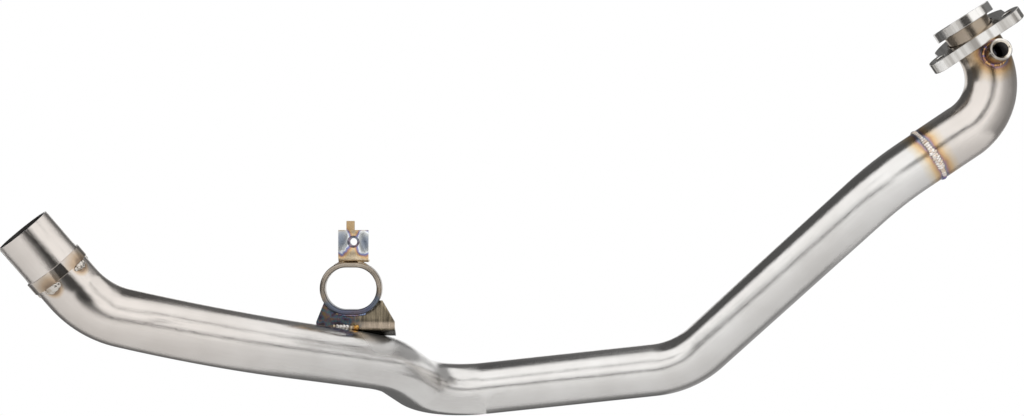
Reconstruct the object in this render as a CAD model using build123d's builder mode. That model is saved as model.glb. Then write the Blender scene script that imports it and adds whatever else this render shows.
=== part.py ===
from build123d import *
import os
from math import atan2, cos, radians, tan

# Motorcycle exhaust header: a tapered head tube with a loose stud flange, welded to a long bent tube
# that carries a hanger bracket and ends in a slip-on outlet.
#
# Millimetres. The origin is the centre of the collar's seating face, X points to the front of the machine,
# Z up and Y to the far side. The pipe is placed as it hangs under an engine.

# Neck: how far the port leans back, and how far its top leans to the far side
neck_lean = 32.4
neck_out = 2.7

# Tube stock
main_od = 38.1
main_wall = 1.5
neck_od = 33.6
head_wall = 1.6
joint_step = 0.55

# Bend schedule from the port to the outlet: straight run, centre-line radius, turn and twist of the bend plane
neck_run = 27.0
head_radius = 42.0
head_turn = 88.6
head_twist = 1.8
head_leg = 30.0

lead_run = 13.0
lead_radius = 140.0
lead_turn = 17.2
lead_twist = 123.3

slope_run = 157.8
slope_radius = 62.0
slope_turn = 38.9
slope_twist = -140.9

belly_run = 125.9
belly_radius = 48.0
belly_turn = 79.1
belly_twist = -48.4

jog_run = 35.0
jog_radius = 58.0
jog_turn = 30.3
jog_twist = -177.0

rear_run = 74.7
rear_radius = 130.0
rear_turn = 45.5
rear_twist = -29.1

tail_run = 5.9
tail_radius = 50.0
tail_turn = 43.1
tail_twist = -115.8

# Fits between welded pieces, and the loose fit of the flange on the neck
weld_gap = 0.05
flange_clearance = 1.3

# Collar on the end of the neck
collar_od = 44.0
collar_height = 7.3
collar_chamfer = 0.4

# Loose flange: a plate with two stud lugs along its flat side, and how it hangs on the neck: turn and tilt
flange_thickness = 7.8
flange_radius = 29.5
flange_half_width = 27.4
lug_radius = 9.0
stud_spacing = 53.5
stud_offset = 13.4
stud_hole_radius = 3.5
flange_chamfer = 0.4
flange_drop = 12.8
flange_turn = -12.0
flange_tilt = 10.6
tilt_bearing = 19.0

# Sensor bung, turned a little to the front and with its mouth raised a little
bung_od = 15.8
bung_bore_radius = 5.35
bung_drop = 35.3
bung_reach = 30.0
bung_bearing = 7.3
bung_rise = 4.0
bung_chamfer = 0.7
bung_weld_size = 1.2

# Bead round the joint of the two tubes
joint_bead_width = 5.6
joint_crown_width = 2.8
joint_bead_height = 0.8

# Slip-on outlet, with the straight before its stop ring
outlet_straight = 11.8
slip_length = 29.0
slip_sizing = 0.25
stop_ring_width = 8.0
stop_ring_wall = 1.2
tack_radius = 3.2
tack_count = 5
tack_bearing = 40.0

# Hanger bracket, square to the machine's side and placed along the rear run
hanger_station = 13.4
saddle_sheet = 2.0
saddle_fold_radius = 2.0
saddle_rise = 0.9
saddle_foot_depth = 13.0
saddle_foot_drop = 5.0
saddle_foot_left = -4.0
saddle_left = -27.4
saddle_right = 26.4
saddle_side_height = 5.4
saddle_top_left = -21.5
saddle_top_right = 17.9
saddle_top_height = 20.0

ring_offset = -3.4
ring_width = 35.2
ring_height = 28.8
ring_wall = 3.6
ring_depth = 12.0
ring_edge = 0.6
ring_standoff = 10.3

tab_offset = -1.5
tab_width = 20.6
tab_height = 22.0
tab_sheet = 1.6
tab_fold_radius = 2.4
tab_foot_depth = 11.0
tab_hole_radius = 4.1
tab_hole_height = 14.0
tongue_offset = -1.9
tongue_width = 5.6
tongue_height = 6.2

nut_plate_length = 18.0
nut_plate_height = 10.0
nut_plate_thickness = 2.0
nut_plate_corner = 3.0
nut_barrel_radius = 5.0
nut_barrel_length = 4.5
nut_bore_radius = 2.5

saddle_bead_radius = 2.6
saddle_bead_length = 15.0
saddle_bead_offset = -7.0
ring_bead_size = 1.8
ring_bead_reach = 21.0
tab_bead_start = 1.8
tab_bead_end = 8.4
tab_bead_drop = 2.4
tab_bead_length = 9.0

os.makedirs("parts", exist_ok=True)


def save(piece, name):
    """Labels a finished piece and writes it to its own file."""
    piece.part.label = name
    export_step(piece.part, f"parts/{name}.step")


def turned(direction, about, angle):
    """A direction turned round another one."""
    return direction.rotate(Axis((0, 0, 0), about), angle)


def bend_corners(start, heading, normal, bends, last_run):
    """Corner points of a bent tube, with the heading and bend plane normal at its end.

    Each bend is the straight run before it, its radius, its turn and the twist of its plane.
    """
    corners = [start]
    point = start
    tangent = 0.0
    for run, radius, turn, twist in bends:
        normal = turned(normal, heading, twist)
        reach = radius * tan(radians(turn / 2))
        point = point + heading * (tangent + run + reach)
        corners.append(point)
        heading = turned(heading, normal, turn)
        tangent = reach
    corners.append(point + heading * (tangent + last_run))
    return corners, heading, normal


# The head tube's leg is a little wider than the main tube that it meets
head_end_od = main_od + 2 * joint_step

# Neck frame: Z runs up the neck axis to the cylinder head, Y to the far side
neck_up = turned(turned(Vector(0, 0, 1), Vector(1, 0, 0), -neck_out), Vector(0, 1, 0), -neck_lean)
neck = Plane(origin=(0, 0, 0), x_dir=turned(Vector(1, 0, 0), Vector(0, 1, 0), -neck_lean), z_dir=neck_up)

# Centre lines of the two tubes
outlet_run = outlet_straight + stop_ring_width + slip_length
head_bends = [(neck_run, head_radius, head_turn, head_twist)]
head_corners, joint_heading, joint_normal = bend_corners(
    neck.origin, -neck.z_dir, neck.y_dir, head_bends, head_leg
)
main_bends = [
    (lead_run, lead_radius, lead_turn, lead_twist),
    (slope_run, slope_radius, slope_turn, slope_twist),
    (belly_run, belly_radius, belly_turn, belly_twist),
    (jog_run, jog_radius, jog_turn, jog_twist),
    (rear_run, rear_radius, rear_turn, rear_twist),
    (tail_run, tail_radius, tail_turn, tail_twist),
]
main_corners, outlet_heading, outlet_normal = bend_corners(
    head_corners[-1], joint_heading, joint_normal, main_bends, outlet_run
)

with BuildLine() as head_line:
    FilletPolyline(*head_corners, radius=head_radius)
with BuildLine() as main_line:
    FilletPolyline(*main_corners, radius=[radius for run, radius, turn, twist in main_bends])

joint = Plane(origin=main_corners[0], x_dir=joint_normal, z_dir=joint_heading)
outlet = Plane(origin=main_corners[-1], x_dir=outlet_normal, z_dir=outlet_heading)


def head_envelope(grow):
    """The head tube as a full bar, its radius changed by grow: straight neck, widening bend, straight leg."""
    bend = head_line.wire().edges().filter_by(GeomType.CIRCLE)[0]
    bend_start = neck.offset(-neck_run)
    bend_end = joint.offset(-head_leg)
    with BuildPart() as bar:
        with BuildSketch(neck):
            Circle(neck_od / 2 + grow)
        extrude(amount=-neck_run)
        with BuildSketch(bend_start):
            Circle(neck_od / 2 + grow)
        with BuildSketch(bend_end):
            Circle(head_end_od / 2 + grow)
        sweep(path=bend, multisection=True)
        with BuildSketch(bend_end):
            Circle(head_end_od / 2 + grow)
        extrude(amount=head_leg)
    return bar.part


def main_envelope(grow):
    """The main tube as a full bar, with its radius changed by grow."""
    with BuildPart() as bar:
        with BuildSketch(joint):
            Circle(main_od / 2 + grow)
        sweep(path=main_line.wire())
    return bar.part


# Head tube, with the sensor's hole drilled through its wall
bung_foot = neck.offset(-bung_drop)
bung_side = turned(neck.x_dir, neck.z_dir, bung_bearing)
bung_heading = turned(turned(-neck.y_dir, neck.z_dir, bung_bearing), bung_side, -bung_rise)
bung = Plane(origin=bung_foot.origin, x_dir=bung_side, z_dir=bung_heading)
head_outside = head_envelope(0)
head_inside = head_envelope(-head_wall)
head_clear = head_envelope(weld_gap)
head_bead_limit = head_envelope(bung_weld_size)

with BuildPart() as head_tube:
    add(head_outside)
    add(head_inside, mode=Mode.SUBTRACT)
    with BuildSketch(bung):
        Circle(bung_bore_radius)
    extrude(amount=bung_reach, mode=Mode.SUBTRACT)
save(head_tube, "head_tube")

# Collar: a turned ring flush with the end of the neck
with BuildPart() as port_collar:
    with BuildSketch(neck):
        Circle(collar_od / 2)
        Circle(neck_od / 2 + weld_gap, mode=Mode.SUBTRACT)
    extrude(amount=-collar_height)
    back_face = port_collar.faces().sort_by(Axis(neck.origin, neck.z_dir))[0]
    chamfer(back_face.edges().sort_by(SortBy.RADIUS)[-1], length=collar_chamfer)
save(port_collar, "port_collar")

# Loose flange, tilted on the neck about the middle of its bore
flange_middle = Plane(
    neck.location
    * Location((0, 0, -flange_drop - flange_thickness / 2))
    * Rotation(0, 0, -tilt_bearing)
    * Rotation(flange_tilt, 0, 0)
    * Rotation(0, 0, tilt_bearing + flange_turn)
)
flange_top = flange_middle.offset(flange_thickness / 2)
flange_bore_radius = neck_od / 2 + flange_clearance
flat_offset = stud_offset + lug_radius

with BuildPart() as port_flange:
    with BuildSketch(flange_top):
        Circle(flange_radius)
        with Locations((0, flange_radius - flat_offset)):
            Rectangle(2 * flange_half_width, 2 * flange_radius, mode=Mode.INTERSECT)
        with Locations((0, -stud_offset)):
            SlotCenterToCenter(stud_spacing, 2 * lug_radius)
    extrude(amount=-flange_thickness)
    outline = port_flange.faces().sort_by(Axis(flange_top.origin, flange_top.z_dir))
    chamfer(outline[-1].edges() + outline[0].edges(), length=flange_chamfer)
    with BuildSketch(flange_top):
        Circle(flange_bore_radius)
        with Locations((0, -stud_offset)):
            with GridLocations(stud_spacing, 0, 2, 1):
                Circle(stud_hole_radius)
    extrude(amount=-flange_thickness, mode=Mode.SUBTRACT)
save(port_flange, "port_flange")

# Sensor bung, its foot cut to the neck, and the bead round that foot
with BuildPart() as sensor_bung:
    with BuildSketch(bung):
        Circle(bung_od / 2)
        Circle(bung_bore_radius, mode=Mode.SUBTRACT)
    extrude(amount=bung_reach)
    chamfer(sensor_bung.faces().sort_by(Axis(bung.origin, bung.z_dir))[-1].edges(), length=bung_chamfer)
    add(head_clear, mode=Mode.SUBTRACT)
save(sensor_bung, "sensor_bung")

with BuildPart() as bung_weld:
    with BuildSketch(bung):
        Circle(bung_od / 2 + bung_weld_size)
    extrude(amount=bung_reach)
    add(head_bead_limit, mode=Mode.INTERSECT)
    add(head_clear, mode=Mode.SUBTRACT)
    with BuildSketch(bung):
        Circle(bung_od / 2 + weld_gap)
    extrude(amount=bung_reach, mode=Mode.SUBTRACT)
save(bung_weld, "bung_weld")

# Main tube, its outlet turned down a little to size for the sleeve that slips over it
with BuildPart() as main_tube:
    with BuildSketch(joint):
        Circle(main_od / 2)
        Circle(main_od / 2 - main_wall, mode=Mode.SUBTRACT)
    sweep(path=main_line.wire())
    with BuildSketch(outlet):
        Circle(main_od / 2 + slip_sizing)
        Circle(main_od / 2 - slip_sizing, mode=Mode.SUBTRACT)
    extrude(amount=-slip_length, mode=Mode.SUBTRACT)
save(main_tube, "main_tube")

# Bead round the joint: its foot lies on both tubes, which differ in diameter
joint_section = Plane(origin=joint.origin, x_dir=joint.z_dir, z_dir=joint.z_dir.cross(joint.x_dir))
half_bead = joint_bead_width / 2
half_crown = joint_crown_width / 2
main_foot = main_od / 2 + weld_gap
head_foot = head_end_od / 2 + weld_gap
with BuildPart() as joint_weld:
    with BuildSketch(joint_section):
        with BuildLine():
            Polyline(
                (half_bead, main_foot),
                (0, main_foot),
                (0, head_foot),
                (-half_bead, head_foot),
                (-half_crown, head_foot + joint_bead_height),
                (half_crown, main_foot + joint_bead_height),
                close=True,
            )
        make_face()
    revolve(axis=Axis(joint.origin, joint.z_dir))
save(joint_weld, "joint_weld")

# Stop ring near the outlet, and the tacks on its front edge
stop_plane = outlet.offset(-slip_length)
with BuildPart() as stop_ring:
    with BuildSketch(stop_plane):
        Circle(main_od / 2 + stop_ring_wall)
        Circle(main_od / 2 + weld_gap, mode=Mode.SUBTRACT)
    extrude(amount=-stop_ring_width)
save(stop_ring, "stop_ring")

tack_plane = stop_plane.offset(-stop_ring_width)
tack_top = main_od / 2 + stop_ring_wall
with BuildPart() as stop_ring_tacks:
    for tack in range(tack_count):
        outward = turned(tack_plane.x_dir, tack_plane.z_dir, tack_bearing + tack * 360 / tack_count)
        with BuildSketch(Plane(origin=tack_plane.origin, x_dir=tack_plane.z_dir, z_dir=outward)):
            Circle(tack_radius)
        extrude(amount=tack_top)
    with BuildSketch(tack_plane):
        Circle(tack_top + tack_radius)
    extrude(amount=stop_ring_width, mode=Mode.SUBTRACT)
    with BuildSketch(tack_plane):
        Circle(main_od / 2 + weld_gap)
    extrude(amount=-stop_ring_width, mode=Mode.SUBTRACT)
save(stop_ring_tacks, "stop_ring_tacks")

# Hanger frame: at the tube's centre line, X to the front, sketch Y up, facing the near side
rear_start = main_corners[4] + (main_corners[5] - main_corners[4]).normalized() * (
    jog_radius * tan(radians(jog_turn / 2))
)
hanger_origin = rear_start + (main_corners[5] - main_corners[4]).normalized() * hanger_station
hanger = Plane(origin=hanger_origin, x_dir=(1, 0, 0), z_dir=(0, -1, 0))
hanger_side = Plane(origin=hanger_origin, x_dir=(0, 1, 0), z_dir=(1, 0, 0))

saddle_base = main_od / 2 + saddle_rise
saddle_top = saddle_base + saddle_top_height
ring_bottom = saddle_base + ring_standoff
ring_centre = ring_bottom + ring_wall + ring_height / 2
ring_top = ring_centre + ring_height / 2 + ring_wall
ring_seat_width = ring_width + 2 * (ring_wall + weld_gap)
ring_seat_height = ring_height + 2 * (ring_wall + weld_gap)
ring_bead_width = ring_width + 2 * (ring_wall + ring_bead_size)
ring_bead_height = ring_height + 2 * (ring_wall + ring_bead_size)
web_back = saddle_sheet / 2
main_clear = main_envelope(weld_gap)


def folded_sheet(side, front, base, height, depth, drop, sheet, fold_radius):
    """Side section of a sheet that stands up at front and folds back at base into a foot, falling by drop."""
    upright = sheet / cos(atan2(drop, depth))
    inner_corner = (front + sheet, base - drop * sheet / depth + upright)
    with BuildSketch(side) as section:
        with BuildLine():
            Polyline(
                (front, base),
                (front + depth, base - drop),
                (front + depth, base - drop + upright),
                inner_corner,
                (front + sheet, base + height),
                (front, base + height),
                close=True,
            )
        make_face()
        corners = section.vertices()
        fillet(corners.sort_by_distance((front, base))[0], radius=fold_radius + sheet)
        corners = section.vertices()
        fillet(corners.sort_by_distance(inner_corner)[0], radius=fold_radius)
    return section.sketch


# Saddle: folded sheet, its web narrowing upwards to the ring and its foot on the tube
saddle_section = folded_sheet(
    hanger_side,
    -web_back,
    saddle_base,
    saddle_top_height,
    saddle_foot_depth,
    saddle_foot_drop,
    saddle_sheet,
    saddle_fold_radius,
)
with BuildPart() as hanger_saddle:
    extrude(saddle_section, amount=max(saddle_right, -saddle_left), both=True)
    with BuildSketch(hanger):
        with BuildLine():
            Polyline(
                (saddle_left, saddle_base),
                (saddle_foot_left, saddle_base),
                (saddle_foot_left, saddle_base - saddle_foot_drop),
                (saddle_right, saddle_base - saddle_foot_drop),
                (saddle_right, saddle_base + saddle_side_height),
                (saddle_top_right, saddle_top),
                (saddle_top_left, saddle_top),
                (saddle_left, saddle_base + saddle_side_height),
                close=True,
            )
        make_face()
        with Locations((ring_offset, ring_centre)):
            SlotOverall(ring_seat_width, ring_seat_height, mode=Mode.SUBTRACT)
    extrude(amount=saddle_foot_depth, both=True, mode=Mode.INTERSECT)
    add(main_clear, mode=Mode.SUBTRACT)
save(hanger_saddle, "hanger_saddle")

# Oval ring: a slice of squeezed tube with eased rims
with BuildPart() as hanger_ring:
    with BuildSketch(hanger):
        with Locations((ring_offset, ring_centre)):
            SlotOverall(ring_width + 2 * ring_wall, ring_height + 2 * ring_wall)
            SlotOverall(ring_width, ring_height, mode=Mode.SUBTRACT)
    extrude(amount=ring_depth / 2, both=True)
    rims = hanger_ring.faces().filter_by(Axis.Y)
    chamfer(rims.edges(), length=ring_edge)
save(hanger_ring, "hanger_ring")

# Tab: folded sheet on top of the ring, with a bolt hole and a locating tongue
tab_origin = hanger_origin + Vector(tab_offset, 0, 0)
tab_front = -ring_depth / 2
tab = Plane(origin=tab_origin, x_dir=(1, 0, 0), z_dir=(0, -1, 0)).offset(-tab_front)
tab_side = Plane(origin=tab_origin, x_dir=(0, 1, 0), z_dir=(1, 0, 0))
tab_foot = ring_top + weld_gap
tab_top = tab_foot + tab_height
hole_height = tab_foot + tab_hole_height
tab_section = folded_sheet(
    tab_side, tab_front, tab_foot, tab_height, tab_foot_depth, 0, tab_sheet, tab_fold_radius
)
with BuildPart() as hanger_tab:
    extrude(tab_section, amount=tab_width / 2, both=True)
    with BuildSketch(tab):
        with Locations((tongue_offset, tab_top)):
            Rectangle(tongue_width, 2 * tongue_height)
    extrude(amount=-tab_sheet)
    with BuildSketch(tab):
        with Locations((0, hole_height)):
            Circle(tab_hole_radius)
    extrude(amount=-tab_sheet, mode=Mode.SUBTRACT)
save(hanger_tab, "hanger_tab")

# Captive nut behind the tab: a plate for the two spot welds, with a threaded barrel
with BuildPart() as tab_nut:
    with BuildSketch(tab.offset(-tab_sheet)):
        with Locations((0, hole_height)):
            RectangleRounded(nut_plate_length, nut_plate_height, nut_plate_corner)
    extrude(amount=-nut_plate_thickness)
    with BuildSketch(tab.offset(-tab_sheet)):
        with Locations((0, hole_height)):
            Circle(nut_barrel_radius)
    extrude(amount=-(nut_plate_thickness + nut_barrel_length))
    with BuildSketch(tab.offset(-tab_sheet)):
        with Locations((0, hole_height)):
            Circle(nut_bore_radius)
    extrude(amount=-(nut_plate_thickness + nut_barrel_length), mode=Mode.SUBTRACT)
save(tab_nut, "tab_nut")

# Bead along the saddle's fold, where it stands on the tube
saddle_bead_plane = Plane(
    origin=hanger_origin + Vector(saddle_bead_offset, 0, saddle_base + saddle_sheet / 2),
    x_dir=(0, 1, 0),
    z_dir=(1, 0, 0),
)
with BuildPart() as saddle_weld:
    with BuildSketch(saddle_bead_plane):
        Circle(saddle_bead_radius)
    extrude(amount=saddle_bead_length / 2, both=True)
    for half in (-saddle_bead_length / 2, saddle_bead_length / 2):
        with Locations(saddle_bead_plane.offset(half)):
            Sphere(saddle_bead_radius)
    with BuildSketch(saddle_bead_plane):
        with Locations((saddle_bead_radius, 0)):
            Rectangle(2 * saddle_bead_radius, 2 * saddle_bead_radius)
    extrude(amount=saddle_bead_length, both=True, mode=Mode.SUBTRACT)
    add(hanger_saddle.part, mode=Mode.SUBTRACT)
    add(main_clear, mode=Mode.SUBTRACT)
save(saddle_weld, "saddle_weld")

# Bead under the ring, in the corner between the ring and the front of the web
with BuildPart() as ring_weld:
    with BuildSketch(hanger.offset(web_back + weld_gap)):
        with Locations((ring_offset, ring_centre)):
            SlotOverall(ring_bead_width, ring_bead_height)
            SlotOverall(ring_seat_width, ring_seat_height, mode=Mode.SUBTRACT)
        with Locations((ring_offset, ring_bottom)):
            Rectangle(ring_bead_reach, ring_bead_reach, mode=Mode.INTERSECT)
    extrude(amount=ring_bead_size)
save(ring_weld, "ring_weld")

# Two beads in the wedges between the tab's foot and the round shoulders of the ring
shoulder = (ring_width - ring_height) / 2
with BuildPart() as tab_weld:
    with BuildSketch(hanger):
        for side in (-1, 1):
            bead_middle = shoulder + (tab_bead_start + tab_bead_end) / 2
            with Locations((ring_offset + side * bead_middle, ring_top - tab_bead_drop / 2)):
                Rectangle(tab_bead_end - tab_bead_start, tab_bead_drop)
        with Locations((ring_offset, ring_centre)):
            SlotOverall(ring_seat_width, ring_seat_height, mode=Mode.SUBTRACT)
    extrude(amount=tab_bead_length / 2, both=True)
save(tab_weld, "tab_weld")
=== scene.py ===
# %% [markdown]
# # A motorcycle exhaust header
# The part comes from CAD as a frame of solids. This lesson dresses that frame: it draws the tubes again as smooth
# skins along the same bends, lays rippled weld beads over the joints, and gives the stainless steel its brushed
# grain and the colours that welding leaves in it. The frame is never moved, so every size stays the CAD's.

# %% Load the frame
from math import asin, atan2, cos, degrees, hypot, radians, sin, sqrt, tau

import bmesh
import bpy
from mathutils import Matrix, Vector
from mathutils.bvhtree import BVHTree


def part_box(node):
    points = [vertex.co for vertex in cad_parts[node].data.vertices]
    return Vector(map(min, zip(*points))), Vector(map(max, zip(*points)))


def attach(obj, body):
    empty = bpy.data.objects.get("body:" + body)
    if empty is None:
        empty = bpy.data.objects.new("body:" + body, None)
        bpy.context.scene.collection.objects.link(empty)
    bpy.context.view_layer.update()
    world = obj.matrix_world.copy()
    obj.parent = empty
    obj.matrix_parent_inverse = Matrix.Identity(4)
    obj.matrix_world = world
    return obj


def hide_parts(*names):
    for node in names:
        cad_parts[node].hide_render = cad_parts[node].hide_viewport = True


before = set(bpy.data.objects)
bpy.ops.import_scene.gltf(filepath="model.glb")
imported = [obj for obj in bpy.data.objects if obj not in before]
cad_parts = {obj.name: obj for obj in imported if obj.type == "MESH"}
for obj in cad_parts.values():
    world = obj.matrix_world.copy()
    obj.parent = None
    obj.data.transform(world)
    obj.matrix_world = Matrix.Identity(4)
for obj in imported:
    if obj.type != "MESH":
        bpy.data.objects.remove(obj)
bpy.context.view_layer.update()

MM = 0.001
PIPE = "pipe"
FLANGE = "flange"
scene = bpy.context.scene
print("frame:", sorted(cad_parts))

# %% [markdown]
# ## The route of the tubes
# A tube bender works from a schedule: a straight run, the radius and angle of a bend, and the twist of the next
# bend's plane. A curve drawn by eye would drift from the CAD, so the same schedule is walked here. Straights get a
# point every few millimetres and arcs one every degree and a half, which keeps long reflections smooth.

# %% Directions at the neck
NECK_LEAN = 32.4
NECK_OUT = 2.7
X_AXIS, Y_AXIS, Z_AXIS = Vector((1, 0, 0)), Vector((0, 1, 0)), Vector((0, 0, 1))
PORT = Vector((0, 0, 0))


def turned(direction, about, angle):
    """A direction turned round another one, by an angle in degrees."""
    return Matrix.Rotation(radians(angle), 3, about) @ direction


def placed(x_dir, z_dir, origin):
    """A place from the directions of its x and z, and an origin in millimetres."""
    place = Matrix((x_dir, z_dir.cross(x_dir), z_dir)).transposed().to_4x4()
    place.translation = origin
    return place


neck_up = turned(turned(Z_AXIS, X_AXIS, -NECK_OUT), Y_AXIS, -NECK_LEAN)
neck_x = turned(X_AXIS, Y_AXIS, -NECK_LEAN)
neck_y = neck_up.cross(neck_x)
neck_place = placed(neck_x, neck_up, PORT)
print("neck points", tuple(round(v, 3) for v in neck_up))

# %% The bend schedule
NECK_RUN = 27.0
HEAD_RADIUS, HEAD_TURN, HEAD_TWIST = 42.0, 88.6, 1.8
HEAD_LEG = 30.0
# For each bend of the main tube: the run before it, its radius, its turn and the twist of its plane
MAIN_BENDS = [
    (13.0, 140.0, 17.2, 123.3),
    (157.8, 62.0, 38.9, -140.9),
    (125.9, 48.0, 79.1, -48.4),
    (35.0, 58.0, 30.3, -177.0),
    (74.7, 130.0, 45.5, -29.1),
    (5.9, 50.0, 43.1, -115.8),
]
OUTLET_STRAIGHT = 11.8
STOP_RING_WIDTH = 8.0
SLIP_LENGTH = 29.0
RUN_STEP = 8.0
ARC_STEP = 1.5
FEWEST_ARC_STEPS = 4


def bent_route(start, heading, normal, bends, last_run):
    """Points along a bent tube in millimetres, with the heading and the bend normal at its end."""
    points = [start.copy()]

    def straight(run):
        pieces = max(1, round(run / RUN_STEP))
        for _ in range(pieces):
            points.append(points[-1] + heading * (run / pieces))

    for run, radius, turn, twist in bends:
        normal = turned(normal, heading, twist)
        straight(run)
        centre = points[-1] + normal.cross(heading) * radius
        spoke = points[-1] - centre
        steps = max(FEWEST_ARC_STEPS, round(turn / ARC_STEP))
        for step in range(1, steps + 1):
            points.append(centre + turned(spoke, normal, turn * step / steps))
        heading = turned(heading, normal, turn)
    straight(last_run)
    return points, heading, normal


head_route, joint_heading, joint_normal = bent_route(
    PORT, -neck_up, neck_y, [(NECK_RUN, HEAD_RADIUS, HEAD_TURN, HEAD_TWIST)], HEAD_LEG
)
joint_point = head_route[-1]
main_route, outlet_heading, outlet_normal = bent_route(
    joint_point, joint_heading, joint_normal, MAIN_BENDS, OUTLET_STRAIGHT + STOP_RING_WIDTH + SLIP_LENGTH
)
outlet_point = main_route[-1]
print(f"route: {len(head_route)} and {len(main_route)} points, outlet at", tuple(round(v, 1) for v in outlet_point))

# %% [markdown]
# ## Skins for the tubes
# A tube is a circle carried along a line, which is what Geometry Nodes' Curve to Mesh does. The line carries each
# point's radius, so the head bend can widen from the neck to its leg. The tree also stores where every point lies
# on the tube, round it and along it: the grain and the weld colours read that instead of the bent space.

# %% How wide the tubes are along their length
MAIN_OD = 38.1
MAIN_WALL = 1.5
NECK_OD = 33.6
HEAD_WALL = 1.6
JOINT_STEP = 0.55
SLIP_SIZING = 0.25
HAIR = 0.01
HEAD_END_OD = MAIN_OD + 2 * JOINT_STEP


def travelled(points):
    """Distance along a line at each of its points."""
    reach = [0.0]
    for a, b in zip(points, points[1:]):
        reach.append(reach[-1] + (b - a).length)
    return reach


head_reach = travelled(head_route)
main_reach = travelled(main_route)
head_bend_length = HEAD_RADIUS * radians(HEAD_TURN)


def head_radius(reach):
    """Outside radius of the head tube: straight neck, widening bend, straight leg."""
    share = min(max((reach - NECK_RUN) / head_bend_length, 0.0), 1.0)
    return (NECK_OD + (HEAD_END_OD - NECK_OD) * share) / 2


def main_radius(reach):
    """Outside radius of the main tube, which is sized down at its outlet."""
    return MAIN_OD / 2 - (SLIP_SIZING if reach > main_reach[-1] - SLIP_LENGTH + HAIR else 0)


print(f"head tube {head_reach[-1]:.0f} mm long, main tube {main_reach[-1]:.0f} mm")

# %% A line that Geometry Nodes can read
def linked(name, data):
    """A new object in the scene, at the origin."""
    thing = bpy.data.objects.new(name, data)
    scene.collection.objects.link(thing)
    return thing


def line_object(name, points, closed=False, **values):
    """A mesh of edges through points in millimetres, with values stored on its points by name."""
    mesh = bpy.data.meshes.new(name)
    count = len(points)
    edges = [(i, (i + 1) % count) for i in range(count if closed else count - 1)]
    mesh.from_pydata([p * MM for p in points], edges, [])
    for key, entries in values.items():
        is_vector = isinstance(entries[0], Vector)
        store = mesh.attributes.new(key, "FLOAT_VECTOR" if is_vector else "FLOAT", "POINT")
        for spot, entry in zip(store.data, entries):
            setattr(spot, "vector" if is_vector else "value", entry)
    return linked(name, mesh)


def evaluated_mesh(piece):
    """The plain mesh that an object's modifiers or its curve settings give."""
    graph = bpy.context.evaluated_depsgraph_get()
    return bpy.data.meshes.new_from_object(piece.evaluated_get(graph), preserve_all_data_layers=True, depsgraph=graph)


def made_plain(piece, tree, name, values):
    """Runs a tree on a line, its inputs set by their identifiers, and returns the result as a plain mesh object."""
    modifier = piece.modifiers.new("tree", "NODES")
    modifier.node_group = tree
    for item in tree.interface.items_tree:
        if item.item_type == "SOCKET" and item.in_out == "INPUT" and item.name in values:
            modifier[item.identifier] = values[item.name]
    piece.update_tag()
    mesh = evaluated_mesh(piece)
    bpy.data.objects.remove(piece)
    mesh.name = name
    return linked(name, mesh)


# %% A tree under construction
class Tree:
    """A Geometry Nodes tree under construction."""

    def __init__(self, name):
        self.tree = bpy.data.node_groups.new(name, "GeometryNodeTree")
        self.tree.interface.new_socket("Geometry", in_out="OUTPUT", socket_type="NodeSocketGeometry")
        self.tree.interface.new_socket("Geometry", in_out="INPUT", socket_type="NodeSocketGeometry")
        self.entry = self.tree.nodes.new("NodeGroupInput")
        self.exit = self.tree.nodes.new("NodeGroupOutput")

    def knob(self, name, kind, value=None):
        """A named input of the tree."""
        socket = self.tree.interface.new_socket(name, in_out="INPUT", socket_type="NodeSocket" + kind)
        if value is not None:
            socket.default_value = value
        return self.entry.outputs[name]

    def add(self, kind, settings=None, inputs=None, output=0):
        """Adds a node: its settings first, then what feeds its sockets. Returns one of its outputs."""
        node = self.tree.nodes.new(kind)
        for key, value in (settings or {}).items():
            setattr(node, key, value)
        for key, value in (inputs or {}).items():
            if isinstance(value, bpy.types.NodeSocket):
                self.tree.links.new(value, node.inputs[key])
            else:
                node.inputs[key].default_value = value
        return node.outputs[output]

    def math(self, operation, *terms):
        """Adds a Math node."""
        return self.add("ShaderNodeMath", {"operation": operation}, dict(enumerate(terms)))

    def stored(self, name, data_type="FLOAT"):
        """A value that the line stores by name."""
        return self.add("GeometryNodeInputNamedAttribute", {"data_type": data_type}, {"Name": name})

    def capture(self, geometry, value):
        """Keeps a number with the geometry. Returns the geometry and the kept number."""
        node = self.tree.nodes.new("GeometryNodeCaptureAttribute")
        node.capture_items.new("FLOAT", "kept")
        self.tree.links.new(geometry, node.inputs["Geometry"])
        self.tree.links.new(value, node.inputs["kept"])
        return node.outputs["Geometry"], node.outputs["kept"]

    def store(self, geometry, name, value, data_type, domain):
        """Stores a value on the geometry by name."""
        return self.add(
            "GeometryNodeStoreNamedAttribute",
            {"data_type": data_type, "domain": domain},
            {"Geometry": geometry, "Name": name, "Value": value},
        )

    def close(self, geometry, material):
        """Ends the tree in plain geometry with a material."""
        plain = self.add("GeometryNodeRealizeInstances", {}, {"Geometry": geometry})
        smooth = self.add("GeometryNodeSetShadeSmooth", {}, {"Geometry": plain, "Shade Smooth": True})
        done = self.add("GeometryNodeSetMaterial", {}, {"Geometry": smooth, "Material": material})
        self.tree.links.new(done, self.exit.inputs["Geometry"])
        return self.tree


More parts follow.
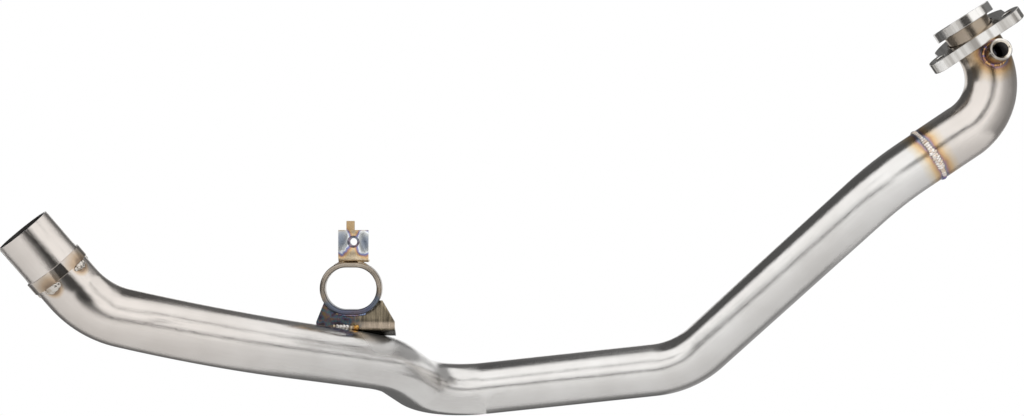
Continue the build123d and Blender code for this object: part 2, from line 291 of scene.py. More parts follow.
# %% The tree that carries a circle along the line
def tube_tree():
    """Carries a circle of the line's own radius along the line, and stores each point's place on the tube."""
    t = Tree("tube along a route")
    sides = t.knob("Sides", "Int", 96)
    material = t.knob("Material", "Material")
    line = t.add("GeometryNodeMeshToCurve", {}, {"Mesh": t.entry.outputs["Geometry"]})
    radius = t.stored("tube_radius")
    line, reach = t.capture(line, t.stored("reach"))
    circle = t.add("GeometryNodeCurvePrimitiveCircle", {}, {"Resolution": sides, "Radius": 1.0})
    circle, around = t.capture(circle, t.add("GeometryNodeSplineParameter"))
    skin = t.add("GeometryNodeCurveToMesh", {}, {"Curve": line, "Profile Curve": circle, "Scale": radius})
    angle = t.math("MULTIPLY", around, tau)
    across = [t.math(wave, angle) for wave in ("COSINE", "SINE")]
    place = t.add("ShaderNodeCombineXYZ", {}, {"X": across[0], "Y": across[1], "Z": reach})
    return t.close(t.store(skin, "tube", place, "FLOAT_VECTOR", "POINT"), material)


TUBE_TREE = tube_tree()
print("tube tree:", len(TUBE_TREE.nodes), "nodes")

# %% [markdown]
# ## Writing steel as arithmetic
# Every finish here is one metal with small changes over its surface. Node trees for that grow long, so a small
# class wraps a socket: adding or multiplying two wrapped sockets adds a Math node, and one method adds any other
# node. A finish then reads like a formula.

# %% A socket that does arithmetic
class Wire:
    """A socket in a material's tree. Arithmetic on it adds Math nodes."""

    def __init__(self, tree, socket=None):
        self.tree = tree
        self.socket = socket

    def add(self, kind, settings=None, inputs=None, output=0):
        """Adds any node: settings first, then its sockets. Returns one of its outputs."""
        node = self.tree.nodes.new(kind)
        for key, value in (settings or {}).items():
            if key == "stops":
                ramp = node.color_ramp
                while len(ramp.elements) < len(value):
                    ramp.elements.new(1.0)
                for stop, (place, colour) in zip(ramp.elements, value):
                    stop.position = place
                    stop.color = (*colour, 1.0)
            else:
                setattr(node, key, value)
        for key, value in (inputs or {}).items():
            if isinstance(value, Wire):
                self.tree.links.new(value.socket, node.inputs[key])
            else:
                node.inputs[key].default_value = value
        return Wire(self.tree, node.outputs[output])

    def math(self, operation, *terms):
        return self.add("ShaderNodeMath", {"operation": operation}, dict(enumerate(terms)))

    def vector_math(self, operation, *terms, output=0):
        return self.add("ShaderNodeVectorMath", {"operation": operation}, dict(enumerate(terms)), output)

    def __add__(self, other):
        return self.math("ADD", self, other)

    def __sub__(self, other):
        return self.math("SUBTRACT", self, other)

    def __rsub__(self, other):
        return self.math("SUBTRACT", other, self)

    def __mul__(self, other):
        return self.math("MULTIPLY", self, other)

    def __truediv__(self, other):
        return self.math("DIVIDE", self, other)

    def __rtruediv__(self, other):
        return self.math("DIVIDE", other, self)

    __radd__ = __add__
    __rmul__ = __mul__

    def absolute(self):
        return self.math("ABSOLUTE", self)

    def at_most(self, other):
        return self.math("MINIMUM", self, other)

    def between(self, low, high):
        """0 below low and 1 above high, with a smooth rise."""
        return self.add(
            "ShaderNodeMapRange",
            {"interpolation_type": "SMOOTHSTEP"},
            {"Value": self, "From Min": low, "From Max": high},
        )

    def noise(self, scale, detail=3.0, stretch=None):
        """Noise over this vector, drawn out along an axis by a stretch of its scales."""
        place = self.scaled(stretch) if stretch else self
        return self.add("ShaderNodeTexNoise", {}, {"Vector": place, "Scale": scale, "Detail": detail})

    def lines(self, scale, detail):
        """Noise over this one number, which draws lines across it."""
        inputs = {"W": self, "Scale": scale, "Detail": detail}
        return self.add("ShaderNodeTexNoise", {"noise_dimensions": "1D"}, inputs)

    def part(self, axis):
        """One component of this vector."""
        return self.add("ShaderNodeSeparateXYZ", {}, {"Vector": self}, output=axis)

    def scaled(self, factors):
        """This vector with each component scaled."""
        return self.vector_math("MULTIPLY", self, factors)

    def dot(self, direction):
        """This vector's reach along a direction."""
        return self.vector_math("DOT_PRODUCT", self, direction, output="Value")

    def distance(self, point):
        """Distance of this vector from a point."""
        return self.vector_math("DISTANCE", self, point, output="Value")

    def from_axis(self, point, direction):
        """Distance of this vector from a line through a point."""
        side = self.vector_math("CROSS_PRODUCT", self.vector_math("SUBTRACT", self, point), direction)
        return self.vector_math("LENGTH", side, output="Value")

    def ramp(self, stops):
        return self.add("ShaderNodeValToRGB", {"stops": stops}, {"Fac": self})

    def mixed(self, other, factor, blend="MIX"):
        """This colour mixed with another one."""
        return self.add(
            "ShaderNodeMix", {"data_type": "RGBA", "blend_type": blend}, {0: factor, 6: self, 7: other}, output=2
        )

    def stained(self, tint, share=1.0):
        """This colour multiplied by a tint."""
        return self.mixed(tint, share, "MULTIPLY")


class Finish:
    """A metal on its way: one Principled shader and the coordinates that its patterns read."""

    def __init__(self, name):
        self.material = bpy.data.materials.new(name)
        self.material.use_nodes = True
        self.tree = self.material.node_tree
        self.shader = self.tree.nodes["Principled BSDF"]
        self.shader.inputs["Metallic"].default_value = 1.0
        self.start = Wire(self.tree)
        self.object = self.start.add("ShaderNodeTexCoord", output="Object")

    def attribute(self, name, output):
        return self.start.add("ShaderNodeAttribute", {"attribute_name": name}, output=output)

    def feed(self, colour, roughness, height=None, depth=0.0):
        """Feeds the shader: colour, roughness, and a height in metres through a Bump node."""
        wires = {"Base Color": colour, "Roughness": roughness}
        if height:
            wires["Normal"] = self.start.add("ShaderNodeBump", {}, {"Height": height, "Distance": depth})
        for socket, wire in wires.items():
            self.tree.links.new(wire.socket, self.shader.inputs[socket])
        print(f"finish {self.material.name}: {len(self.tree.nodes)} nodes")
        return self.material


# %% [markdown]
# ## Stainless steel and its heat colours
# Welding leaves an oxide skin on stainless steel. Where it was hottest the skin is thick and looks blue or purple,
# then come brown and gold, and a last faint straw before the bare metal. So one ramp over the distance from a weld
# gives the whole rainbow, and it is multiplied into the steel's own colour. Noise on the distance breaks its edge.

# %% The rainbow round a weld
CLEAN = (1.0, 1.0, 1.0)
STRAW = (1.0, 0.9, 0.74)
GOLD = (0.98, 0.72, 0.42)
BRONZE = (0.72, 0.48, 0.3)
PURPLE = (0.52, 0.36, 0.46)
BLUE = (0.4, 0.46, 0.62)
RAINBOW = [(0.0, BLUE), (0.07, PURPLE), (0.16, BRONZE), (0.3, GOLD), (0.55, STRAW), (0.95, CLEAN)]


def heat_tint(distance, spread, wander, stops=RAINBOW, wander_share=0.5):
    """Tint at a distance from a weld's edge: spread is where the last colour ends, wander is a noise."""
    return (distance / spread + (wander - 0.5) * wander_share).ramp(stops)


# %% [markdown]
# ### Satin tube
# The tubes are bright-polished along their length: fine streaks that run with the tube, over a surface that still
# mirrors softly. The streaks are noise on the stored tube place, squeezed round the tube and drawn out along it.
# Towards both ends the steel turns a little beige.

# %% Finish of brushed tube
TUBE_TONES = [(0.34, (0.64, 0.622, 0.602)), (0.66, (0.75, 0.737, 0.72))]
BEIGE = (0.95, 0.9, 0.862, 1.0)
JOINT_BEAD_HALF = 0.0027
JOINT_TINT_START = JOINT_BEAD_HALF * 0.8
JOINT_TINT_SPREAD = 0.012
STREAK_DEPTH = 0.00003


def satin_tube(name, joint, warm):
    """Brushed tube steel. joint is the place of the weld along the tube, and warm gives the two places between which
    the steel turns beige, all in metres. Returns the finish with its colour, its roughness and what they read."""
    f = Finish(name)
    tube = f.attribute("tube", "Vector")
    f.along = tube.part("Z")
    streaks = tube.noise(60.0, 4.0, (1.0, 1.0, 0.6))
    f.fine = tube.noise(240.0, 2.0, (1.0, 1.0, 0.25))
    cloud = f.object.noise(26.0)
    patches = f.object.noise(38.0, 1.0)
    f.wander = f.object.noise(90.0)
    from_joint = (f.along - joint).absolute() - JOINT_TINT_START
    f.colour = (cloud * 0.7 + streaks * 0.3).ramp(TUBE_TONES).stained(BEIGE, f.along.between(*warm))
    f.colour = f.colour.stained(heat_tint(from_joint, JOINT_TINT_SPREAD, f.wander))
    f.roughness = 0.045 + streaks * 0.09 + f.fine * 0.035 + patches.between(0.5, 0.62) * 0.025
    return f


# %% [markdown]
# The main tube has a brown halo round each tack that holds the stop ring, so the tacks' places are worked out here.
# Under the hanger's foot the steel is duller, as it is where a weld has been dressed.

# %% Finish of the main tube
WELD_GAP = 0.05
TACK_BEARING = 40.0
TACK_COUNT = 5
TACK_SEAT = 1.9
TACK_BROWN = [(0.0, (0.42, 0.33, 0.25)), (0.25, (0.74, 0.6, 0.45)), (0.6, (0.93, 0.85, 0.75)), (0.95, CLEAN)]
TUBE_HALO_START, TUBE_HALO_SPREAD = 0.0042, 0.0035
MAIN_WARM_START, MAIN_WARM_END = 0.26, 0.06
SADDLE_TOE = 10.0
DRESSED_REACH = (0.007, 0.022)
DRESSED_ROUGHNESS = 0.3


def box_of(node):
    """The two corners of a CAD node's box, in millimetres."""
    return [Vector(corner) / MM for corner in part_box(node)]


def on_circle(place, radius, angle, height):
    """A spot on a circle round a place's axis."""
    return place @ Vector((radius * cos(angle), radius * sin(angle), height))


def outward(place, angle):
    """The direction away from a place's axis at an angle."""
    return place.to_3x3() @ Vector((cos(angle), sin(angle), 0))


def nearest_of(place, spots):
    """Distance of a place from the nearest of some spots in millimetres."""
    nearest = place.distance(spots[0] * MM)
    for spot in spots[1:]:
        nearest = nearest.at_most(place.distance(spot * MM))
    return nearest


outlet_place = placed(outlet_normal, outlet_heading, outlet_point)
tack_place = outlet_place @ Matrix.Translation((0, 0, -SLIP_LENGTH - STOP_RING_WIDTH))
ring_inside = MAIN_OD / 2 + WELD_GAP
tack_angles = [radians(TACK_BEARING + k * 360 / TACK_COUNT) for k in range(TACK_COUNT)]
tack_spots = [on_circle(tack_place, ring_inside, a, -TACK_SEAT) for a in tack_angles]
saddle_low, saddle_high = box_of("hanger_saddle")
saddle_foot = Vector((saddle_high.x - SADDLE_TOE, saddle_low.y, saddle_low.z))

head_length, main_length = head_reach[-1] * MM, main_reach[-1] * MM
main_warm = (main_length - MAIN_WARM_START, main_length - MAIN_WARM_END)
f = satin_tube("satin_main_tube", 0.0, main_warm)
halo = nearest_of(f.object, tack_spots) - TUBE_HALO_START
colour = f.colour.stained(heat_tint(halo, TUBE_HALO_SPREAD, f.wander, TACK_BROWN))
dressed = 1.0 - f.object.distance(saddle_foot * MM).between(*DRESSED_REACH)
MAIN_FINISH = f.feed(colour, f.roughness + dressed * DRESSED_ROUGHNESS, f.fine, STREAK_DEPTH)
print("tacks at", [tuple(round(v) for v in spot) for spot in tack_spots])

# %% [markdown]
# The head tube is browned by the hot port above and by the bung's weld. The bung's colours are rings round its
# axis, kept to the near side of the tube.

# %% Finish of the head tube
BUNG_DROP = 35.3
BUNG_BEARING = 7.3
BUNG_RISE = 4.0
BUNG_OD = 15.8
NECK_BROWN = [(0.0, (0.44, 0.385, 0.31)), (0.3, (0.55, 0.5, 0.43)), (0.6, (0.78, 0.745, 0.7)), (0.95, CLEAN)]
NECK_BROWN_LENGTH = 0.06
HEAD_WARM = (0.3, 0.04)
BUNG_TINT_START = (BUNG_OD / 2 + 0.6) * MM
BUNG_TINT_SPREAD = 0.013
NEAR_SIDE = (0.002, 0.008)
FAR_PUSH = 0.03

bung_side = turned(neck_x, neck_up, BUNG_BEARING)
bung_heading = turned(turned(-neck_y, neck_up, BUNG_BEARING), bung_side, -BUNG_RISE)
bung_origin = -neck_up * BUNG_DROP

f = satin_tube("satin_head_tube", head_length, HEAD_WARM)
colour = f.colour.stained(heat_tint(f.along, NECK_BROWN_LENGTH, f.wander, NECK_BROWN, 0.3))
bung_ring = f.object.from_axis(bung_origin * MM, bung_heading) - BUNG_TINT_START
behind = 1.0 - (f.object.dot(bung_heading) - bung_origin.dot(bung_heading) * MM).between(*NEAR_SIDE)
colour = colour.stained(heat_tint(bung_ring + behind * FAR_PUSH, BUNG_TINT_SPREAD, f.wander))
HEAD_FINISH = f.feed(colour, f.roughness, f.fine, STREAK_DEPTH)
print("bung at", tuple(round(v, 1) for v in bung_origin))

# %% [markdown]
# Inside, a tube is a dull sooty grey. It shows only at the outlet, the port and in the bung, so it is kept plain. In
# the bung's threaded bore the same near-black also stands for painted shade down the hole.

# %% Finish of the tubes' insides
f = Finish("gas_side_steel")
soot = f.object.noise(120.0, 4.0)
INSIDE_FINISH = f.feed(soot.ramp([(0.35, (0.035, 0.033, 0.031)), (0.7, (0.11, 0.105, 0.1))]), 0.42 + soot * 0.2)

# %% The tube skins
TUBE_SIDES = 112
EDGE_ANGLE = 35.0


def applied(piece):
    """Replaces a piece's mesh by the result of its modifiers, with its sharp edges kept."""
    mesh = evaluated_mesh(piece)
    piece.modifiers.clear()
    piece.data = mesh
    mesh.set_sharp_from_angle(angle=radians(EDGE_ANGLE))


def seat(piece, body, node):
    """Lets a finished piece ride on a body in place of a CAD node, and says so."""
    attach(piece, body)
    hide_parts(node)
    print(f"{piece.name}: {len(piece.data.polygons)} faces in place of {node}")


def tube_skin(node, route, reach, radius, wall, finish):
    """A tube's skin along its route, with its wall inwards."""
    radii, reaches = [radius(r) * MM for r in reach], [r * MM for r in reach]
    line = line_object(node + "_line", route, tube_radius=radii, reach=reaches)
    skin = made_plain(line, TUBE_TREE, node + "_skin", {"Sides": TUBE_SIDES, "Material": finish})
    shell = skin.modifiers.new("wall", "SOLIDIFY")
    shell.thickness = wall * MM
    shell.offset = -1.0
    shell.material_offset = 1
    skin.data.materials.append(INSIDE_FINISH)
    applied(skin)
    seat(skin, PIPE, node)
    return skin


head_skin = tube_skin("head_tube", head_route, head_reach, head_radius, HEAD_WALL, HEAD_FINISH)
tube_skin("main_tube", main_route, main_reach, main_radius, MAIN_WALL, MAIN_FINISH)

# %% [markdown]
# ## Turned pieces
# The collar, the sensor bung and the stop ring come off a lathe, so each is a section spun round an axis. The rims
# carry a small round, because a real turned edge always catches a line of light. Edges of more than 20 degrees are
# kept sharp, because smooth shading across the round would tilt the reflections of the flat faces beside it.

# %% Spinning a section
LATHE_SIDES = 128
LATHE_ANGLE = 20.0
MERGE = 1e-7


def finished(name, mesh, finish, sharp=EDGE_ANGLE):
    """An object for a mesh in millimetres already in place: scaled to metres, smooth, with its sharp edges kept."""
    mesh.transform(Matrix.Scale(MM, 4))
    work = bmesh.new()
    work.from_mesh(mesh)
    bmesh.ops.remove_doubles(work, verts=work.verts, dist=MERGE)
    bmesh.ops.recalc_face_normals(work, faces=work.faces)
    work.to_mesh(mesh)
    work.free()
    for face in mesh.polygons:
        face.use_smooth = True
    mesh.set_sharp_from_angle(angle=radians(sharp))
    mesh.materials.clear()
    mesh.materials.append(finish)
    return linked(name, mesh)


def grid_mesh(name, rows):
    """A mesh through rows of points, closed both ways."""
    count, width = len(rows), len(rows[0])
    faces = []
    for i in range(count):
        for j in range(width):
            k, m = (i + 1) % count, (j + 1) % width
            faces.append((i * width + j, i * width + m, k * width + m, k * width + j))
    mesh = bpy.data.meshes.new(name)
    mesh.from_pydata([p for row in rows for p in row], [], faces)
    return mesh


def spun(name, section, place, finish):
    """A piece spun from a closed section of radii and heights."""
    angles = [tau * step / LATHE_SIDES for step in range(LATHE_SIDES)]
    rows = [[on_circle(place, r, a, h) for r, h in section] for a in angles]
    return finished(name, grid_mesh(name, rows), finish, LATHE_ANGLE)


def eased_section(inner, outer, start, end, bevel, cuts=2):
    """A closed square section between two radii and two heights, with a small round at each corner."""
    corners = [Vector(c) for c in ((inner, start), (outer, start), (outer, end), (inner, end))]
    points = []
    for i, corner in enumerate(corners):
        before = (corners[i - 1] - corner).normalized()
        after = (corners[(i + 1) % len(corners)] - corner).normalized()
        centre = corner + (before + after) * bevel
        for cut in range(cuts + 1):
            a = radians(90 * cut / cuts)
            points.append(centre - (after * cos(a) + before * sin(a)) * bevel)
    return [(p.x, p.y) for p in points]


# %% [markdown]
# ### Turned and sawn steel
# Collar, bung and flange are brighter than the tubes and show fine tool marks. The marks on a turned piece run
# round its axis, so their noise is drawn on the distance along that axis alone. Broad lighter and darker bands run
# across it.

# %% Finish of the turned pieces
MACHINED_TONES = [(0.34, (0.34, 0.32, 0.295)), (0.5, (0.6, 0.58, 0.55)), (0.6, (0.8, 0.785, 0.76))]
TOOL_MARK_DEPTH = 0.00001


def turned_steel(name, axis, across, heat=None, band_scale=95.0, grind_share=0.16):
    """Bright machined steel: fine tool marks along an axis and broad lighter and darker bands across it. heat gives a
    place, the distance from it where the heat colours start, and their spread."""
    f = Finish(name)
    side = f.object.dot(across)
    marks = f.object.dot(axis).lines(2400.0, 2.0)
    grind = side.lines(900.0, 3.0)
    bands = side.lines(band_scale, 1.0)
    colour = (bands + (grind - 0.5) * grind_share).ramp(MACHINED_TONES)
    if heat:
        place, start, spread = heat
        colour = colour.stained(heat_tint(f.object.distance(place) - start, spread, f.object.noise(160.0)))
    return f.feed(colour, 0.1 + marks * 0.12, marks, TOOL_MARK_DEPTH)


# %% Collar on the neck
COLLAR_OD = 44.0
COLLAR_HEIGHT = 7.3
COLLAR_BEVEL = 0.5
COLLAR_FINISH = turned_steel("turned_collar", neck_up, neck_x)
collar_section = eased_section(NECK_OD / 2 + WELD_GAP, COLLAR_OD / 2, 0, -COLLAR_HEIGHT, COLLAR_BEVEL)
seat(spun("port_collar_ring", collar_section, neck_place, COLLAR_FINISH), PIPE, "port_collar")

# %% [markdown]
# ## The loose flange
# The flange is a plate sawn to a D with two lugs, drilled for the studs, and it hangs loose and tilted on the neck.
# A flat curve with holes is the short way to such a plate: Blender fills it, gives it thickness and bevels its rims.

# %% Flange outline
FLANGE_RADIUS = 29.5
FLANGE_HALF_WIDTH = 27.4
LUG_RADIUS = 9.0
STUD_SPACING = 53.5
STUD_OFFSET = 13.4
STUD_HOLE_RADIUS = 3.5
FLANGE_CLEARANCE = 1.3
FINE_STEP, LUG_STEP, HOLE_STEP = 3.0, 4.0, 10.0


def arc(centre, radius, start, end, step):
    """Points on an arc, by angles in degrees."""
    count = max(3, round(abs(end - start) / step))
    angles = [radians(start + (end - start) * i / count) for i in range(count + 1)]
    return [(centre[0] + radius * cos(a), centre[1] + radius * sin(a)) for a in angles]


def angle_at(radius, across):
    """The angle, in degrees, at which a circle reaches a distance across."""
    return degrees(atan2(sqrt(radius**2 - across**2), across))


def hole(centre, radius, step):
    """A closed circle of points."""
    return arc(centre, radius, 0, 360 - step, step)


lug_meets_body = angle_at(LUG_RADIUS, FLANGE_HALF_WIDTH - STUD_SPACING / 2)
body_corner = angle_at(FLANGE_RADIUS, FLANGE_HALF_WIDTH)
middle = (0, 0)
right_stud, left_stud = (STUD_SPACING / 2, -STUD_OFFSET), (-STUD_SPACING / 2, -STUD_OFFSET)
flange_outline = (
    arc(right_stud, LUG_RADIUS, -90, lug_meets_body, LUG_STEP)
    + arc(middle, FLANGE_RADIUS, body_corner, 180 - body_corner, FINE_STEP)
    + arc(left_stud, LUG_RADIUS, 180 - lug_meets_body, 270, LUG_STEP)
)
flange_holes = [
    hole(middle, NECK_OD / 2 + FLANGE_CLEARANCE, FINE_STEP),
    hole(right_stud, STUD_HOLE_RADIUS, HOLE_STEP),
    hole(left_stud, STUD_HOLE_RADIUS, HOLE_STEP),
]
print("flange outline:", len(flange_outline), "points")

# %% Flange plate, tilted on the neck
FLANGE_THICKNESS = 7.8
FLANGE_BEVEL = 0.5
FLANGE_DROP = 12.8
FLANGE_TURN = -12.0
FLANGE_TILT = 10.6
TILT_BEARING = 19.0
FLANGE_BANDS, FLANGE_GRIND = 120.0, 0.1
PLATE_ANGLE = 10.0


def plate(name, loops, thickness, bevel, place, finish):
    """A flat plate from an outline and its holes, centred on its own thickness."""
    curve = bpy.data.curves.new(name, "CURVE")
    curve.dimensions = "2D"
    curve.fill_mode = "BOTH"
    curve.extrude = thickness / 2 - bevel
    curve.bevel_depth = bevel
    curve.bevel_resolution = 2
    curve.offset = -bevel
    for loop in loops:
        spline = curve.splines.new("POLY")
        spline.points.add(len(loop) - 1)
        for spot, (x, y) in zip(spline.points, loop):
            spot.co = (x, y, 0, 1)
        spline.use_cyclic_u = True
    flat = linked(name + "_curve", curve)
    mesh = evaluated_mesh(flat)
    bpy.data.objects.remove(flat)
    mesh.transform(place)
    return finished(name, mesh, finish, PLATE_ANGLE)


def rotation(angle, axis):
    return Matrix.Rotation(radians(angle), 4, axis)


flange_place = (
    neck_place
    @ Matrix.Translation((0, 0, -FLANGE_DROP - FLANGE_THICKNESS / 2))
    @ rotation(-TILT_BEARING, "Z")
    @ rotation(FLANGE_TILT, "X")
    @ rotation(TILT_BEARING + FLANGE_TURN, "Z")
)
flange_up, flange_side = ((flange_place.to_3x3() @ axis).normalized() for axis in (Z_AXIS, X_AXIS))
FLANGE_FINISH = turned_steel("sawn_flange", flange_up, flange_side, None, FLANGE_BANDS, FLANGE_GRIND)
flange_loops = [flange_outline, *flange_holes]
flange = plate("port_flange_plate", flange_loops, FLANGE_THICKNESS, FLANGE_BEVEL, flange_place, FLANGE_FINISH)
seat(flange, FLANGE, "port_flange")
flange_low = box_of("port_flange")[0]
print("flange off by", [round(a - b / MM, 2) for a, b in zip(flange_low, flange.bound_box[0])], "mm")

# %% [markdown]
# ## Sensor bung
# A short threaded boss for the oxygen sensor. Its foot is sunk into the tube's wall, where the bead hides it, and
# the thread is cut as grooves in the same section before it is spun. Rings look like a thread here and need no helix.

# %% Bung with its thread
BUNG_BORE_RADIUS = 5.35
BUNG_REACH = 30.0
BUNG_FOOT = 14.4
BUNG_BORE_FOOT = 15.6
BUNG_CHAMFER = 0.8
CHAMFER_KNEE = (0.3, 0.25)
THREAD_PITCH = 1.25
THREAD_DEPTH = 0.7
THREAD_LEAD = 1.0
THREAD_MARGIN = 1.2
LIP_WIDTH = 0.4
DARK_BELOW = 1.2
BUNG_HEAT_HEIGHT, BUNG_HEAT_START, BUNG_HEAT_SPREAD = 16.0, 0.008, 0.009

bung_place = placed(bung_side, bung_heading, bung_origin)
thread_radius = BUNG_BORE_RADIUS + THREAD_DEPTH
bung_section = [
    (BUNG_OD / 2, BUNG_FOOT),
    (BUNG_OD / 2, BUNG_REACH - BUNG_CHAMFER),
    (BUNG_OD / 2 - CHAMFER_KNEE[0], BUNG_REACH - CHAMFER_KNEE[1]),
    (BUNG_OD / 2 - BUNG_CHAMFER, BUNG_REACH),
    (thread_radius + LIP_WIDTH, BUNG_REACH),
]
for groove in range(int((BUNG_REACH - BUNG_BORE_FOOT - THREAD_MARGIN) / THREAD_PITCH)):
    top = BUNG_REACH - THREAD_LEAD - groove * THREAD_PITCH
    bung_section += [(BUNG_BORE_RADIUS, top), (thread_radius, top - THREAD_PITCH / 2)]
bung_section.append((BUNG_BORE_RADIUS, BUNG_BORE_FOOT))

bung_heat = ((bung_origin + bung_heading * BUNG_HEAT_HEIGHT) * MM, BUNG_HEAT_START, BUNG_HEAT_SPREAD)
BUNG_FINISH = turned_steel("turned_bung", bung_heading, bung_side, bung_heat)
bung = spun("sensor_bung_boss", bung_section, bung_place, BUNG_FINISH)
# The thread below the mouth takes the near-black inside finish: soot, and painted shade for the depth of the hole
bung.data.materials.append(INSIDE_FINISH)
into_bung = bung_place.inverted()
for face in bung.data.polygons:
    spot = into_bung @ (face.center / MM)
    if hypot(spot.x, spot.y) < thread_radius and spot.z < BUNG_REACH - DARK_BELOW:
        face.material_index = 1
seat(bung, PIPE, "sensor_bung")

# %% [markdown]
# ## Stop ring
# A thin band on the main tube stops the silencer's sleeve. It is spun on the outlet's own axis, and its steel is
# browned round each tack as the tube's is.

# %% Stop ring
STOP_RING_WALL = 1.2
STOP_RING_BEVEL = 0.15
BAND_TONES = [(0.3, (0.53, 0.495, 0.465)), (0.7, (0.66, 0.62, 0.585))]
BAND_HALO_START, BAND_HALO_SPREAD = 0.0035, 0.011

f = Finish("stop_band")
cloud = f.object.noise(60.0)
halo = nearest_of(f.object, tack_spots) - BAND_HALO_START
tint = heat_tint(halo, BAND_HALO_SPREAD, f.object.noise(140.0), TACK_BROWN)
RING_FINISH = f.feed(cloud.ramp(BAND_TONES).stained(tint), 0.07 + cloud * 0.08)
ring_section = eased_section(
    ring_inside, MAIN_OD / 2 + STOP_RING_WALL, -SLIP_LENGTH, -SLIP_LENGTH - STOP_RING_WIDTH, STOP_RING_BEVEL
)
seat(spun("stop_ring_band", ring_section, outlet_place, RING_FINISH), PIPE, "stop_ring")

# %% [markdown]
# ## Weld beads
# A hand-laid bead freezes in ripples, one for each dab of filler, like a row of leaning coins. Geometry Nodes lays
# them: a flattened ball at every step of a line, turned to the line's heading and to the way out of the metal, with
# a little chance in its size. The same tree makes the ring bead, the foot beads and the tacks.

# %% The tree of ripples
def bead_tree():
    """Lays leaning dabs along a line that stores its ways out and a swell of their sizes."""
    t = Tree("bead of ripples")
    pitch = t.knob("Pitch", "Float", 0.0015)
    length = t.knob("Ripple Length", "Float", 0.0016)
    width = t.knob("Half Width", "Float", 0.0026)
    height = t.knob("Height", "Float", 0.0009)
    lean = t.knob("Lean", "Float", 0.3)
    chance = t.knob("Chance", "Float", 0.12)
    seed = t.knob("Seed", "Int", 3)
    material = t.knob("Material", "Material")
    line = t.add("GeometryNodeMeshToCurve", {}, {"Mesh": t.entry.outputs["Geometry"]})
    line = t.add("GeometryNodeResampleCurve", {"mode": "LENGTH"}, {"Curve": line, "Length": pitch})
    facing = t.add(
        "FunctionNodeAxesToRotation",
        {"primary_axis": "X", "secondary_axis": "Z"},
        {"Primary Axis": t.add("GeometryNodeInputTangent"), "Secondary Axis": t.stored("out", "FLOAT_VECTOR")},
    )
    tip = t.add("FunctionNodeEulerToRotation", {}, {"Euler": t.add("ShaderNodeCombineXYZ", {}, {"Y": lean})})
    facing = t.add("FunctionNodeRotateRotation", {"rotation_space": "LOCAL"}, {"Rotation": facing, "Rotate By": tip})

    def drawn(low, high, own_seed):
        inputs = {2: low, 3: high, "Seed": own_seed}
        return t.add("FunctionNodeRandomValue", {"data_type": "FLOAT"}, inputs, output=1)

    low, high = t.math("SUBTRACT", 1.0, chance), t.math("ADD", 1.0, chance)
    swell = t.stored("swell")
    sizes = []
    for step, size in enumerate((length, width, height)):
        size = t.math("MULTIPLY", size, drawn(low, high, t.math("ADD", seed, float(step))))
        sizes.append(t.math("MULTIPLY", size, swell))
    scale = t.add("ShaderNodeCombineXYZ", {}, dict(zip("XYZ", sizes)))
    ball = t.add("GeometryNodeMeshUVSphere", {}, {"Segments": 18, "Rings": 10, "Radius": 1.0})
    dab = {"Points": line, "Instance": ball, "Rotation": facing, "Scale": scale}
    dabs = t.add("GeometryNodeInstanceOnPoints", {}, dab)
    return t.close(t.store(dabs, "tone", drawn(0.0, 1.0, seed), "FLOAT", "INSTANCE"), material)


BEAD_TREE = bead_tree()


def laid(name, points, outs, finish, swell=None, closed=False, **sizes):
    """Lays a rippled bead along points in millimetres. swell scales its ripples, sizes set the tree's inputs."""
    line = line_object(name + "_line", points, closed, out=outs, swell=swell or [1.0] * len(points))
    values = {key.replace("_", " ").title(): value for key, value in sizes.items()}
    return made_plain(line, BEAD_TREE, name, {"Material": finish, **values})


def joined(name, pieces, finish):
    """One object from several beads of the same finish."""
    work = bmesh.new()
    for piece in pieces:
        work.from_mesh(piece.data)
        bpy.data.objects.remove(piece)
    mesh = bpy.data.meshes.new(name)
    work.to_mesh(mesh)
    work.free()
    mesh.materials.append(finish)
    return linked(name, mesh)


print("bead tree:", len(BEAD_TREE.nodes), "nodes")

# %% [markdown]
# ### Bead colours
# Fresh filler is the brightest metal on the pipe, a little pink, and the oxide colours sit in patches on it: gold
# where it cooled slowly, purple and blue where the torch turned back.

# %% Finish of the beads
PALE, ROSE, AMBER = (0.86, 0.83, 0.8), (0.76, 0.64, 0.6), (0.72, 0.45, 0.2)
VIOLET, INDIGO, RUST = (0.3, 0.2, 0.33), (0.16, 0.2, 0.42), (0.42, 0.2, 0.09)


def filler(name, tones, burnt=None):
    """Bead steel. tones is a ramp from the palest to the most burnt, over patches and each ripple's own tone. burnt
    gives a direction and the two reaches along it, in metres, between which the bead turns from pale to burnt."""
    f = Finish(name)
    patches = f.object.noise(260.0, 2.0)
    share = f.attribute("tone", "Fac") * 0.3 + patches * 0.8 - 0.05
    if burnt:
        direction, low, high = burnt
        share = share * 0.55 + f.object.dot(direction).between(low, high) * 0.5
    return f.feed(share.ramp(tones), 0.1 + patches * 0.12)


# %% [markdown]
# ### Beads on the tubes
# The joint's bead is a ring round the tube, broad on the near side and thin behind, and it burns violet towards its
# low end. The bung's bead follows the saddle-shaped line where the boss meets the tube: a ray cast down beside the
# boss finds each point of it on the skin. Five short tacks hold the stop ring.

# %% Bead round the joint
JOINT_STEPS = 90
JOINT_BEAD_RADIUS = (MAIN_OD + HEAD_END_OD) / 4
JOINT_THIN, JOINT_SWELL, JOINT_SWELL_POWER = 0.6, 0.62, 4
JOINT_BURN_DROP = 0.017
JOINT_BURN = (-0.009, 0.002)
JOINT_TONES = [
    (0.12, PALE),
    (0.2, (0.62, 0.51, 0.43)),
    (0.27, PALE),
    (0.38, (0.66, 0.52, 0.4)),
    (0.48, (0.8, 0.74, 0.66)),
    (0.64, VIOLET),
    (0.78, INDIGO),
    (0.9, AMBER),
]
joint_burn = JOINT_BURN_DROP - joint_point.z * MM
JOINT_FINISH = filler("filler_joint", JOINT_TONES, (-Z_AXIS, *(joint_burn + step for step in JOINT_BURN)))
joint_place = placed(joint_normal, joint_heading, joint_point)
joint_outs = [outward(joint_place, tau * k / JOINT_STEPS) for k in range(JOINT_STEPS)]
joint_ring = [joint_point + out * JOINT_BEAD_RADIUS for out in joint_outs]
